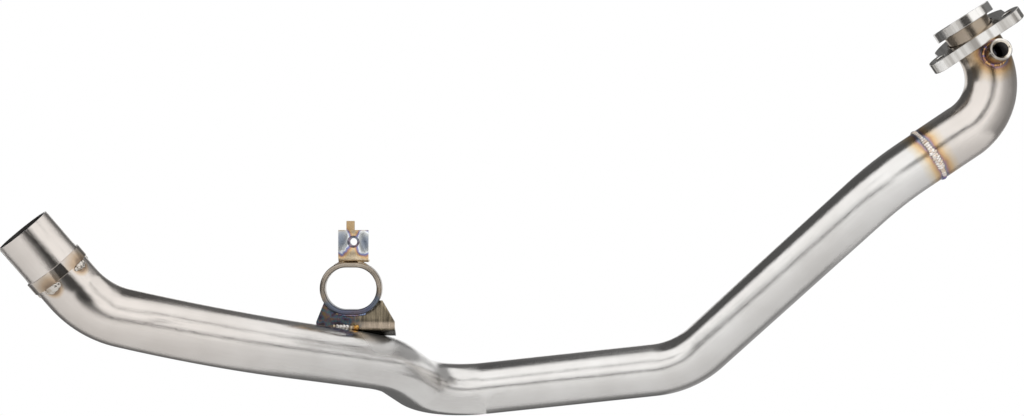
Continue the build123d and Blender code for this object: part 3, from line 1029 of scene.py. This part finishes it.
joint_swell = [JOINT_THIN + JOINT_SWELL * max(0.0, -out.y) ** JOINT_SWELL_POWER for out in joint_outs]
joint_bead = laid(
    "joint_weld_bead", joint_ring, joint_outs, JOINT_FINISH, joint_swell, True,
    pitch=0.002, ripple_length=0.0019, half_width=JOINT_BEAD_HALF, height=0.0012, lean=0.75, chance=0.17, seed=4,
)
seat(joint_bead, PIPE, "joint_weld")

# %% Bead round the bung's foot
FOOT_STEPS = 60
FOOT_STAND_OFF = 0.35
FOOT_FINISH = filler("filler_foot", [(0.2, ROSE), (0.4, AMBER), (0.55, RUST), (0.66, VIOLET), (0.8, INDIGO)])
head_surface = BVHTree.FromObject(head_skin, bpy.context.evaluated_depsgraph_get())
foot_points, foot_outs = [], []
for k in range(FOOT_STEPS):
    spoke = outward(bung_place, tau * k / FOOT_STEPS)
    start = bung_origin + spoke * (BUNG_OD / 2 + FOOT_STAND_OFF) + bung_heading * BUNG_REACH
    hit, normal, _, _ = head_surface.ray_cast(start * MM, -bung_heading)
    foot_points.append(hit / MM)
    foot_outs.append((normal + spoke).normalized())
bung_bead = laid(
    "bung_weld_bead", foot_points, foot_outs, FOOT_FINISH, None, True,
    pitch=0.0013, ripple_length=0.0013, half_width=0.0013, height=0.0008, lean=0.3, chance=0.15, seed=9,
)
seat(bung_bead, PIPE, "bung_weld")

# %% Tacks on the stop ring
TACK_ARC = 12.5
TACK_SIZES = (0.9, 0.62, 1.0, 0.8, 0.9)
TACK_SWELL = (0.75, 1.1, 1.25, 1.1, 0.75)
TACK_SEED = 20
TACK_FINISH = filler("filler_tack", [(0.2, (0.7, 0.68, 0.64)), (0.55, (0.6, 0.56, 0.51)), (0.75, (0.34, 0.27, 0.2))])
tacks = []
for number, (angle, size) in enumerate(zip(tack_angles, TACK_SIZES)):
    angles = [angle + radians(share * TACK_ARC) for share in (-1, -0.5, 0, 0.5, 1)]
    points = [on_circle(tack_place, ring_inside, a, -TACK_SEAT) for a in angles]
    outs = [outward(tack_place, a) for a in angles]
    tack = laid(
        f"tack_{number}", points, outs, TACK_FINISH, [swell * size for swell in TACK_SWELL],
        pitch=0.0022, ripple_length=0.0027, half_width=0.0028, height=0.0012, lean=0.1, chance=0.1,
        seed=TACK_SEED + number,
    )
    tacks.append(tack)
seat(joined("stop_ring_tack_beads", tacks, TACK_FINISH), PIPE, "stop_ring_tacks")

# %% [markdown]
# ## The hanger
# The bracket is bent sheet: a saddle on the tube, an oval ring for the rubber, and a folded tab with its captive
# nut. It was welded all over, so it carries the strongest colours on the part. The folded sheets keep the CAD's
# shape: a merged copy of the solid gets a small bevel on its edges. The ring is drawn again with rounded rims.

# %% Places on the hanger
ring_low, ring_high = box_of("hanger_ring")
ring_centre = (ring_low + ring_high) / 2
tab_top = box_of("hanger_tab")[1].z
nut_low, nut_high = box_of("tab_nut")
bolt_hole = (nut_low + nut_high) / 2
print("ring centre", tuple(round(v, 1) for v in ring_centre), "bolt hole", tuple(round(v, 1) for v in bolt_hole))

# %% [markdown]
# ### Tinted sheet
# Brushed sheet with heat colours. The tab is gold, with two blue-grey ovals where the nut's plate is spot-welded
# behind it, each ringed by a white and a blue line. Their shares are distances on squeezed coordinates, so a round
# ramp turns oval. The tongue on top is browner, and the ring is dark where it was welded to the saddle.

# %% Brushed sheet with heat spots
SHEET_DARK, SHEET_LIGHT = 0.72, 1.2
SPOT_FADE = (0.78, 1.0)
TONGUE_BROWN = (0.36, 0.23, 0.1, 1.0)
TONGUE_FADE = (-1.5, 0.5)
GRAIN_DEPTH = 0.00002


def tinted_sheet(name, base, spots, spread, stops, grain_stretch, grain_share, squeeze=(1.0, 1.0, 1.0), tongue=None):
    """Brushed sheet steel. spots gives places in millimetres, spread the reach of their heat colours in metres, and
    squeeze makes them oval. tongue is the height, in millimetres, over which the sheet turns golden brown."""
    f = Finish(name)
    grain = f.object.noise(900.0, 3.0, grain_stretch)
    cloud = f.object.noise(90.0)
    wander = f.object.noise(120.0)
    dark, light = (tuple(v * shade for v in base) for shade in (SHEET_DARK, SHEET_LIGHT))
    colour = (cloud * (1.0 - grain_share) + grain * grain_share).ramp([(0.36, dark), (0.64, light)])
    for place in spots:
        share = f.object.scaled(squeeze).distance(place * Vector(squeeze) * MM) / spread + (wander - 0.5) * 0.6
        colour = colour.mixed(share.ramp(stops), 1.0 - share.between(*SPOT_FADE))
    if tongue:
        rise = f.object.part("Z").between(*((tongue + step) * MM for step in TONGUE_FADE))
        colour = colour.mixed(TONGUE_BROWN, rise * (0.35 + grain * 0.75))
    return f.feed(colour, 0.2 + grain * 0.1, grain, GRAIN_DEPTH)


# %% Finish of the tab and the ring
TAB_GOLD = (0.7, 0.57, 0.4)
TONGUE_RISE = 6.2
SPOT_COLOURS = [
    (0.0, (0.17, 0.21, 0.28)),
    (0.3, (0.32, 0.35, 0.4)),
    (0.5, (0.55, 0.56, 0.55)),
    (0.58, (0.86, 0.89, 0.92)),
    (0.66, (0.2, 0.24, 0.5)),
    (0.74, (0.42, 0.24, 0.22)),
    (0.84, (0.72, 0.47, 0.22)),
]
SPOT_SPREAD = 0.0125
SPOT_SQUEEZE = (1.35, 0.6, 0.95)
tab_spots = [bolt_hole + Vector((side * 7.8, -3, 0.5)) for side in (-1, 1)]
TAB_FINISH = tinted_sheet(
    "tinted_tab", TAB_GOLD, tab_spots, SPOT_SPREAD, SPOT_COLOURS,
    (1.0, 1.0, 0.1), 0.2, SPOT_SQUEEZE, tab_top - TONGUE_RISE,
)

RING_BROWN = (0.36, 0.31, 0.255)
RING_COLOURS = [
    (0.0, (0.12, 0.1, 0.12)),
    (0.35, (0.1, 0.11, 0.16)),
    (0.65, (0.13, 0.15, 0.18)),
    (0.85, (0.3, 0.24, 0.18)),
]
RING_TINT_SPREAD = 0.029
ring_weld_spot = ring_centre + Vector((2, -6, -18))
OVAL_FINISH = tinted_sheet(
    "tinted_ring", RING_BROWN, [ring_weld_spot], RING_TINT_SPREAD, RING_COLOURS, (0.2, 1.0, 0.2), 0.15
)
print("tab spots at", [tuple(round(v, 1) for v in spot) for spot in tab_spots])

# %% [markdown]
# ### Burnt sheet
# The saddle took the most heat. Its left half is a patchwork of blue, teal and purple oxide, its right half a dark
# olive with the upright strokes of a wire brush. On the right, a painted highlight is a bright band where the fold at
# its foot would catch the light, and painted shade darkens the web below it.

# %% Finish of the saddle
OLIVE_TONES = [(0.38, (0.085, 0.07, 0.048)), (0.62, (0.3, 0.25, 0.175))]
OXIDE_TONES = [
    (0.36, (0.045, 0.04, 0.04)),
    (0.42, (0.1, 0.06, 0.09)),
    (0.46, (0.05, 0.07, 0.12)),
    (0.51, (0.07, 0.13, 0.13)),
    (0.57, (0.13, 0.08, 0.1)),
    (0.64, (0.16, 0.12, 0.06)),
]
# Colours of the painted highlight on the fold and of the painted shade below it
PAINTED_FOLD_HIGHLIGHT = (0.56, 0.46, 0.36, 1.0)
PAINTED_FOLD_SHADE = (0.05, 0.045, 0.04, 1.0)
OXIDE_FADE = (24, 32)
SADDLE_FOOT_DROP = 5.0
FOLD_LOW, FOLD_HIGH = 0.2, 6.4
STROKE_DEPTH = 0.00003

web_foot = saddle_low.z + SADDLE_FOOT_DROP
low, high = (web_foot + FOLD_LOW) * MM, (web_foot + FOLD_HIGH) * MM
f = Finish("burnt_saddle")
x, z = f.object.part("X"), f.object.part("Z")
strokes = f.object.noise(900.0, 3.0, (1.0, 1.0, 0.06))
cloud = f.object.noise(90.0)
oxide = f.object.noise(170.0, 3.0, (1.0, 1.0, 1.5)).ramp(OXIDE_TONES)
right = (x + (cloud - 0.5) * 0.02).between(*((saddle_low.x + reach) * MM for reach in OXIDE_FADE))
colour = (strokes * 0.65 + cloud * 0.35).ramp(OLIVE_TONES).mixed(oxide, 1.0 - right)
# Painted highlight: on the right half, a lighter band above the web's foot, where the fold would catch the light
fold_highlight = z.between(low, low + 0.0012) * (1.0 - z.between(high - 0.002, high)) * right
colour = colour.mixed(PAINTED_FOLD_HIGHLIGHT, fold_highlight * (0.35 + strokes * 0.65))
# Painted shade: the web below that band turns dark
colour = colour.mixed(PAINTED_FOLD_SHADE, (1.0 - z.between(low - 0.001, low)) * right * 0.8)
SADDLE_FINISH = f.feed(colour, 0.2 + strokes * 0.12, strokes, STROKE_DEPTH)

# %% [markdown]
# ### Ring, sheets and nut
# The ring could be a bent pipe, but its section is a flat band with rounded rims, so that section is carried round
# two half circles. Saddle, tab and nut come from the CAD's own meshes.

# %% Oval ring
RING_WIDTH = 35.2
RING_HEIGHT = 28.8
RING_WALL = 3.6
RING_DEPTH = 12.0
RING_RIM = 1.7
RIM_CUTS = 6
RIM_ANGLE = 50.0
OVAL_STEP = 3
oval_inner = RING_HEIGHT / 2
oval_outer = oval_inner + RING_WALL
oval_shift = (RING_WIDTH - RING_HEIGHT) / 2
oval_section = eased_section(oval_inner, oval_outer, -RING_DEPTH / 2, RING_DEPTH / 2, RING_RIM, RIM_CUTS)
oval_rows = []
for side, start in ((1, -90), (-1, 90)):
    centre = ring_centre + Vector((side * oval_shift, 0, 0))
    for step in range(0, 180 + 1, OVAL_STEP):
        a = radians(start + step)
        oval_rows.append([centre + Vector((r * cos(a), y, r * sin(a))) for r, y in oval_section])
oval = finished("hanger_ring_oval", grid_mesh("hanger_ring_oval", oval_rows), OVAL_FINISH, RIM_ANGLE)
seat(oval, PIPE, "hanger_ring")

# %% Folded sheets and the captive nut
CAD_MERGE = 0.001
FLAT_ANGLE = 1.0
BEVEL_ANGLE = 40.0
SADDLE_EDGE, TAB_EDGE, NUT_EDGE = 0.25, 0.2, 0.15
NUT_HEAT_AND_SHADE_SPREAD = 0.3


def eased_copy(node, name, edge, finish):
    """Puts a merged copy of a CAD node, with a small bevel on its sharp edges, in the node's place."""
    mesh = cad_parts[node].data.copy()
    mesh.transform(Matrix.Scale(1 / MM, 4))
    if "custom_normal" in mesh.attributes:
        mesh.attributes.remove(mesh.attributes["custom_normal"])
    work = bmesh.new()
    work.from_mesh(mesh)
    bmesh.ops.remove_doubles(work, verts=work.verts, dist=CAD_MERGE)
    bmesh.ops.dissolve_limit(work, angle_limit=radians(FLAT_ANGLE), verts=work.verts, edges=work.edges)
    work.to_mesh(mesh)
    work.free()
    piece = finished(name, mesh, finish)
    bevel = piece.modifiers.new("edges", "BEVEL")
    bevel.width = edge * MM
    bevel.segments = 2
    bevel.limit_method = "ANGLE"
    bevel.angle_limit = radians(BEVEL_ANGLE)
    applied(piece)
    seat(piece, PIPE, node)


# The heat colours spread so wide that they cover the whole nut and darken it: a heat tint, and painted shade for the
# nut where it sits behind the tab
NUT_FINISH = turned_steel("captive_nut_steel", Y_AXIS, X_AXIS, (bolt_hole * MM, 0.0, NUT_HEAT_AND_SHADE_SPREAD))
eased_copy("hanger_saddle", "hanger_saddle_sheet", SADDLE_EDGE, SADDLE_FINISH)
eased_copy("hanger_tab", "hanger_tab_sheet", TAB_EDGE, TAB_FINISH)
eased_copy("tab_nut", "captive_nut", NUT_EDGE, NUT_FINISH)

# %% [markdown]
# ### Beads on the hanger
# The bead along the saddle's foot goes from pale filler to burnt orange, the one under the ring is blue with oxide,
# and two small bronze ones fill the wedges between the tab and the ring's shoulders. Their lines start from the
# boxes of the CAD's own beads, so they stay where the solids have them.

# %% Bead along the saddle's foot
SOOT = (0.13, 0.11, 0.1)
HANGER_TONES = [
    (0.16, SOOT),
    (0.22, PALE),
    (0.28, SOOT),
    (0.38, (0.6, 0.5, 0.36)),
    (0.5, (0.25, 0.13, 0.05)),
    (0.6, (0.85, 0.5, 0.14)),
    (0.7, (0.3, 0.14, 0.04)),
    (0.78, (0.9, 0.5, 0.12)),
    (0.9, RUST),
]
SADDLE_BURN = (13, 19)
SADDLE_BEAD_STEPS = 9
SADDLE_BEAD_MARGIN = 2.4
SADDLE_BEAD_IN, SADDLE_BEAD_UP = 2.0, 0.6
SADDLE_BEAD_OUT = Vector((0, -0.8, -0.6))
weld_low, weld_high = box_of("saddle_weld")
saddle_burn = (X_AXIS, *((weld_low.x + reach) * MM for reach in SADDLE_BURN))
HANGER_FINISH = filler("filler_hanger", HANGER_TONES, saddle_burn)
bead_run = weld_high.x - weld_low.x - 2 * SADDLE_BEAD_MARGIN
bead_height = (weld_low.z + weld_high.z) / 2 + SADDLE_BEAD_UP
along_saddle = []
for step in range(SADDLE_BEAD_STEPS):
    reach = SADDLE_BEAD_MARGIN + bead_run * step / (SADDLE_BEAD_STEPS - 1)
    along_saddle.append(Vector((weld_low.x + reach, weld_low.y + SADDLE_BEAD_IN, bead_height)))
saddle_bead = laid(
    "saddle_weld_bead", along_saddle, [SADDLE_BEAD_OUT] * SADDLE_BEAD_STEPS, HANGER_FINISH,
    pitch=0.0021, ripple_length=0.0019, half_width=0.0027, height=0.0017, lean=0.35, chance=0.18, seed=31,
)
seat(saddle_bead, PIPE, "saddle_weld")

# %% Bead under the ring
RING_BEAD_STAND_OFF = 0.5
RING_BEAD_REACH = 6.0
RING_BEAD_STEPS = 13
RING_BEAD_IN = 0.2
OXIDE_FINISH = filler("filler_oxide", [(0.2, INDIGO), (0.4, (0.3, 0.36, 0.5)), (0.55, VIOLET), (0.7, (0.5, 0.4, 0.25))])
ring_bead_front = box_of("ring_weld")[1].y - RING_BEAD_IN
ring_bead_radius = oval_outer + RING_BEAD_STAND_OFF
reach_angle = degrees(asin(RING_BEAD_REACH / ring_bead_radius))
under_ring, under_outs = [], []
for step in range(RING_BEAD_STEPS):
    share = 2 * step / (RING_BEAD_STEPS - 1) - 1
    a = radians(-90 + share * reach_angle)
    spoke = Vector((cos(a), 0, sin(a)))
    centre = Vector((ring_centre.x + oval_shift * share, ring_bead_front, ring_centre.z))
    under_ring.append(centre + spoke * ring_bead_radius)
    under_outs.append((spoke - Y_AXIS).normalized())
ring_bead = laid(
    "ring_weld_bead", under_ring, under_outs, OXIDE_FINISH,
    pitch=0.0013, ripple_length=0.0013, half_width=0.0013, height=0.0007, lean=0.3, chance=0.15, seed=37,
)
seat(ring_bead, PIPE, "ring_weld")

# %% Beads between the tab and the ring
TAB_BEAD_START, TAB_BEAD_END = 2.6, 8.2
TAB_BEAD_SWELL = [1.3, 1.2, 1.1, 1.0, 0.85, 0.65, 0.5]
TAB_BEAD_SINK, TAB_BEAD_IN = 0.2, 1.6
TAB_BEAD_SEED = 50
BRONZE_FINISH = filler("filler_tab", [(0.2, (0.4, 0.34, 0.27)), (0.5, (0.55, 0.48, 0.39)), (0.75, (0.26, 0.2, 0.17))])
tab_bead_front = box_of("tab_weld")[0].y + TAB_BEAD_IN
tab_beads = []
for number, side in enumerate((-1, 1)):
    points, outs = [], []
    centre = Vector((ring_centre.x + side * oval_shift, tab_bead_front, ring_centre.z))
    for step in range(len(TAB_BEAD_SWELL)):
        reach = TAB_BEAD_START + (TAB_BEAD_END - TAB_BEAD_START) * step / (len(TAB_BEAD_SWELL) - 1)
        a = asin(reach / oval_outer)
        spoke = Vector((side * sin(a), 0, cos(a)))
        points.append(centre + spoke * (oval_outer - TAB_BEAD_SINK))
        outs.append((spoke - Y_AXIS).normalized())
    tab_bead = laid(
        f"tab_bead_{number}", points, outs, BRONZE_FINISH, TAB_BEAD_SWELL,
        pitch=0.0013, ripple_length=0.0013, half_width=0.0013, height=0.0009, lean=0.3, chance=0.12,
        seed=TAB_BEAD_SEED + number,
    )
    tab_beads.append(tab_bead)
seat(joined("tab_weld_beads", tab_beads, BRONZE_FINISH), PIPE, "tab_weld")

# %% [markdown]
# ## Camera, light and stage
# The photograph looks level at the pipe's near side from a little over a metre, on white. Polished metal shows what
# stands round it, so the stage matters more than the lamps: a white surround, a pale round floor that fades into
# it, pale panels, and dark boards that the camera cannot see but that draw the dark lines along the tube.

# %% Camera
LENS = 59.77
SENSOR = 36.0
CAMERA_PLACE = (-0.316, -1.199, -0.134)
camera_data = bpy.data.cameras.new("camera")
camera_data.lens = LENS
camera_data.sensor_width = SENSOR
camera = linked("camera", camera_data)
camera.location = CAMERA_PLACE
camera.rotation_euler = (radians(90), 0, 0)
scene.camera = camera
print("camera at", CAMERA_PLACE)

# %% [markdown]
# The white of the surround is for the camera and for mirrors alone. The light that it sheds on the part is half as
# strong, so that the steel keeps its own tone.

# %% World
SHED_LIGHT = 0.5
scene.view_settings.view_transform = "Standard"
world = bpy.data.worlds.new("white_surround")
scene.world = world
world.use_nodes = True
background = world.node_tree.nodes["Background"]
background.inputs["Color"].default_value = (1, 1, 1, 1)


def seen_directly(start):
    """1 for rays from the camera, off mirrors and through clear things, and 0 for the light that falls on the part."""
    camera_ray, glossy_ray, clear_ray = (
        start.add("ShaderNodeLightPath", output=f"Is {ray} Ray") for ray in ("Camera", "Glossy", "Transmission")
    )
    return (camera_ray + glossy_ray + clear_ray).at_most(1.0)


strength = SHED_LIGHT + seen_directly(Wire(world.node_tree)) * (1.0 - SHED_LIGHT)
world.node_tree.links.new(strength.socket, background.inputs["Strength"])
print("world:", world.name)

# %% [markdown]
# The floor is a disc well below the part. Under the part it is pale grey and takes the shadow. Towards its rim its
# own colour gives way to a glow of white, so that no edge of it shows from any side.

# %% Floor
STAGE_CENTRE = Vector((-0.3, 0.0, -0.13))
FLOOR_HEIGHT = -0.62
FLOOR_RADIUS = 2.4
FLOOR_PLAIN = 0.5
FLOOR_SIDES = 96
FLOOR_GREY = (0.82, 0.82, 0.82)
BLACK, WHITE = (0.0, 0.0, 0.0), (1.0, 1.0, 1.0)


def stage_board(name, corners, faces):
    """A board of the stage, with a dull black paint. Returns the board and its paint's shader."""
    mesh = bpy.data.meshes.new(name)
    mesh.from_pydata(corners, [], faces)
    paint = bpy.data.materials.new(name)
    paint.use_nodes = True
    shader = paint.node_tree.nodes["Principled BSDF"]
    shader.inputs["Base Color"].default_value = (*BLACK, 1)
    shader.inputs["Roughness"].default_value = 1.0
    shader.inputs["Specular IOR Level"].default_value = 0.0
    shader.inputs["Emission Color"].default_value = (*WHITE, 1)
    mesh.materials.append(paint)
    board = linked(name, mesh)
    return board, shader


floor_centre = Vector((STAGE_CENTRE.x, STAGE_CENTRE.y, FLOOR_HEIGHT))
floor_angles = [tau * k / FLOOR_SIDES for k in range(FLOOR_SIDES)]
floor_corners = [floor_centre + Vector((cos(a), sin(a), 0)) * FLOOR_RADIUS for a in floor_angles]
floor, shader = stage_board("floor", floor_corners, [tuple(range(FLOOR_SIDES))])
paint = floor.data.materials[0].node_tree
start = Wire(paint)
rim = start.add("ShaderNodeTexCoord", output="Object").distance(floor_centre).between(FLOOR_PLAIN, FLOOR_RADIUS)
glow = rim * seen_directly(start)
paint.links.new(rim.ramp([(0.0, FLOOR_GREY), (1.0, BLACK)]).socket, shader.inputs["Base Color"])
paint.links.new(glow.ramp([(0.0, BLACK), (1.0, WHITE)]).socket, shader.inputs["Emission Color"])
shader.inputs["Emission Strength"].default_value = 1.0
print("floor at", FLOOR_HEIGHT, "m")

# %% [markdown]
# Far boards stand all round. Each glows at its own grey and shows only in reflections, by its azimuth and its
# elevation as the part sees them. Large pale panels give the broad lights, the gaps between them the thin dark
# lines, and dark screens at the left and behind the dark edges. A dark screen's edge is stepped through greys,
# because a hard edge shows as a notch on the curved head.

# %% Far screens that the metal mirrors
SCREEN_DISTANCE = 2.2
NEARER, NEAREST = 0.05, 0.1
SCREEN_COLUMNS, SCREEN_ROWS = 13, 7


def mirrored_board(name, corners, faces, grey):
    """A board that glows at its grey and shows in reflections alone."""
    board, shader = stage_board(name, corners, faces)
    shader.inputs["Emission Strength"].default_value = grey
    board.visible_camera = False
    board.visible_diffuse = False
    board.visible_shadow = False


def aimed(azimuth, elevation, nearer):
    """A place round the stage: azimuth 0 is the camera's side, 90 the right, and elevation is upwards."""
    a, e = radians(azimuth), radians(elevation)
    way = Vector((sin(a) * cos(e), -cos(a) * cos(e), sin(e)))
    return STAGE_CENTRE + way * (SCREEN_DISTANCE - nearer)


def screen(name, azimuths, elevations, grey, nearer=0.0):
    """A curved screen between two azimuths and two elevations."""
    corners, faces = [], []
    for i in range(SCREEN_ROWS):
        for j in range(SCREEN_COLUMNS):
            azimuth = azimuths[0] + (azimuths[1] - azimuths[0]) * j / (SCREEN_COLUMNS - 1)
            elevation = elevations[0] + (elevations[1] - elevations[0]) * i / (SCREEN_ROWS - 1)
            corners.append(aimed(azimuth, elevation, nearer))
            if i and j:
                here = i * SCREEN_COLUMNS + j
                faces.append((here, here - 1, here - SCREEN_COLUMNS - 1, here - SCREEN_COLUMNS))
    mirrored_board(name, corners, faces, grey)


screen("soft_panel_left", (-96, -6), (16, 80), 1.25)
screen("soft_panel_right", (-6, 92), (8, 80), 1.2)
screen("soft_panel_far", (92, 154), (28, 80), 1.15)
screen("soft_panel_top", (-180, 180), (80, 90), 1.1)
screen("strip_right", (8, 40), (-26, 0), 1.15)
screen("dark_left_back", (-172, -97), (18, 78), 0.11)
screen("dark_left", (-150, -74), (-22, 18), 0.12, NEARER)
for number, (left, right, top, grey) in enumerate(
    [(-74, -68, 17, 0.2), (-68, -62, 13, 0.32), (-62, -56, 9, 0.46), (-56, -50, 5, 0.64)]
):
    screen(f"dark_left_edge_{number}", (left, right), (-22, top), grey, NEARER)
screen("dark_left_high", (-97, -82), (48, 78), 0.12, NEARER)
screen("back_top", (154, 190), (62, 79), 0.5)
screen("dark_back", (154, 190), (13, 61), 0.17)
screen("grey_right_back", (100, 154), (2, 33), 0.4, NEARER)
screen("grey_right_high", (112, 154), (33, 38), 0.4, NEARER)
screen("grey_right_low", (154, 168), (1, 13), 0.5, NEARER)
print("screens", SCREEN_DISTANCE, "m away")

# %% Dark gaps between the panels
PANEL_GAP = [(-42, 32), (-24, 36), (-13, 41), (0, 50), (30, 46), (62, 37), (88, 30), (98, 28)]
PANEL_GAP_WIDTH, PANEL_GAP_GREY = 5, 0.16
LOWER_GAP = [(-62, 3), (-36, -2), (-22, 0), (-9, 3), (18, 2), (45, 0), (88, -5), (100, -6)]
LOWER_GAP_WIDTH, LOWER_GAP_GREY = 6.5, 0.14


def ribbon(name, pairs, grey):
    """A board between two lines, given as pairs of corners."""
    faces = [(2 * k - 2, 2 * k, 2 * k + 1, 2 * k - 1) for k in range(1, len(pairs))]
    mirrored_board(name, [corner for pair in pairs for corner in pair], faces, grey)


def gap_line(name, places, width, grey):
    """A dark line through places given by azimuth and elevation."""
    ribbon(name, [[aimed(a, e + side * width / 2, NEAREST) for side in (-1, 1)] for a, e in places], grey)


gap_line("panel_gap", PANEL_GAP, PANEL_GAP_WIDTH, PANEL_GAP_GREY)
gap_line("lower_gap", LOWER_GAP, LOWER_GAP_WIDTH, LOWER_GAP_GREY)
print("gap lines through", len(PANEL_GAP), "and", len(LOWER_GAP), "places")

# %% [markdown]
# Boards close to the part are seen differently by each run of the tube. Strips on the floor darken what the tube
# mirrors low down. Upright ones lie edge-on to the runs that must not show them: beside the head, the collar and
# the dog-leg.

# %% Floor strips and upright boards
STRIP_LIFT = 0.004
HEAD_BOARD_X = 0.14
DOGLEG_BOARD_X = -0.335


def card(name, corners, grey):
    """A flat board by its four corners."""
    mirrored_board(name, corners, [(0, 1, 2, 3)], grey)


def floor_strip(name, left, right, near, far, grey):
    """A strip on the floor, between two sides and two depths."""
    height = FLOOR_HEIGHT + STRIP_LIFT
    card(name, [(left, near, height), (right, near, height), (right, far, height), (left, far, height)], grey)


def upright(name, x, near, far, low, high, grey):
    """An upright board across the picture, between two depths and two heights."""
    card(name, [(x, near, low), (x, far, low), (x, far, high), (x, near, high)], grey)


floor_strip("floor_near", -1.4, 0.3, 0.09, 0.17, 0.55)
floor_strip("floor_back", -1.4, 0.3, 0.17, 0.36, 0.24)
floor_strip("floor_far", -1.4, -0.1, 0.36, 2.4, 0.15)
floor_strip("floor_right", -0.1, 2.1, 0.36, 2.4, 0.4)
for number, (near, far, grey) in enumerate(
    [(-0.2, -0.14, 0.8), (-0.14, -0.08, 0.6), (-0.08, -0.02, 0.44), (-0.02, 0.16, 0.3)]
):
    upright(f"card_head_{number}", HEAD_BOARD_X, near, far, -0.15, 0.02, grey)
upright("card_collar", HEAD_BOARD_X, -0.05, 0.16, 0.03, 0.12, 0.2)
upright("card_dogleg", DOGLEG_BOARD_X, -0.06, 0.36, -0.6, -0.284, 0.76)
print("upright boards at", HEAD_BOARD_X, "and", DOGLEG_BOARD_X, "m across")

# %% [markdown]
# The head is curved both ways and mirrors nearly the whole stage, so it gets small boards of its own close by: one
# dark strip in front, which draws the line along the bend, and pale boards behind it that hide the far gaps. They
# are turned edge-on to the long run, which would mirror them too.

# %% Boards close to the head
HEAD_STRIP = [(-0.078, -0.068), (-0.056, -0.048), (-0.006, -0.005), (0.014, 0.012), (0.06, 0.012)]
HEAD_STRIP_HALF = 0.03
HEAD_STRIP_WAY = (0.5, -0.87)
HEAD_STRIP_GREY, HEAD_PANEL_GREY, HEAD_TOP_GREY = 0.1, 1.2, 1.25
EDGE_ON_DEPTH, EDGE_ON_SLOPE = -0.288, -0.45
PANEL_BACK = 0.04


def edge_on(x, z, back=0.0):
    """A place in front of the head on a board that runs edge-on to the long run."""
    return Vector((x, EDGE_ON_DEPTH - back + EDGE_ON_SLOPE * x, z))


def turned_card(name, middle, along, across, grey):
    """A board by its middle and its two half sides."""
    card(name, [middle + along * u + across * v for u, v in ((-1, -1), (1, -1), (1, 1), (-1, 1))], grey)


step_x, step_z = (HEAD_STRIP_HALF * way for way in HEAD_STRIP_WAY)
strip_pairs = [[edge_on(x + side * step_x, z + side * step_z) for side in (1, -1)] for x, z in HEAD_STRIP]
ribbon("head_strip", strip_pairs, HEAD_STRIP_GREY)
low_panel = [(-0.1, -0.125), (0.3, -0.1), (0.3, -0.01), (-0.1, -0.03)]
card("head_panel_low", [edge_on(x, z, PANEL_BACK) for x, z in low_panel], HEAD_PANEL_GREY)
top_along = Vector((0.66, -0.366, 0.656))
top_across = Vector((-0.27, -0.705, 0.656)).cross(top_along).normalized() * 0.1
top_middle = Vector((-0.08, -0.24, 0.12)) - top_along * 0.03
turned_card("head_panel_high", top_middle, top_along * 0.15, top_across, HEAD_TOP_GREY)
print("head strip through", len(HEAD_STRIP), "places")

# %% [markdown]
# The outlet's dark stripe is a board that stands off from its end, turned to run with the slip-on tube, with a
# grey one beside it to soften its edge.

# %% Boards by the outlet
OUTLET_BOARD_IN, OUTLET_BOARD_OFF, OUTLET_BOARD_HALF = 0.016, 0.15, 0.07
outlet_way = Vector((0.48, -0.87, 0.0))
outlet_along = Vector((0.165, -0.882, 0.442))
outlet_across = (outlet_way - outlet_along * outlet_way.dot(outlet_along)).normalized().cross(outlet_along)
outlet_middle = outlet_point * MM - outlet_heading * OUTLET_BOARD_IN + outlet_way * OUTLET_BOARD_OFF
for name, offset, half, grey in (("card_outlet", 0.0, 0.036, 0.06), ("card_outlet_side", 0.054, 0.018, 0.3)):
    middle = outlet_middle + outlet_across * offset
    turned_card(name, middle, outlet_along * OUTLET_BOARD_HALF, outlet_across * half, grey)
print("outlet boards at", tuple(round(v, 3) for v in outlet_middle))

# %% [markdown]
# Two large soft lamps, one from each side above the camera, give the dull surfaces and the beads their light. They
# stay out of reflections, because the panels do that work.

# %% Lamps
def soft_lamp(name, place, size, power):
    """A square area lamp aimed at the stage's centre."""
    lamp_data = bpy.data.lights.new(name, "AREA")
    lamp_data.size = size
    lamp_data.energy = power
    lamp = linked(name, lamp_data)
    lamp.location = place
    lamp.rotation_euler = (STAGE_CENTRE - Vector(place)).to_track_quat("-Z", "Y").to_euler()
    lamp.visible_glossy = False
    print(f"lamp {name}: {power} W")


soft_lamp("key", (-1.4, -1.8, 1.6), 1.2, 40)
soft_lamp("fill", (1.2, -1.4, 1.0), 1.2, 18)

# %% Done
print("scene built")
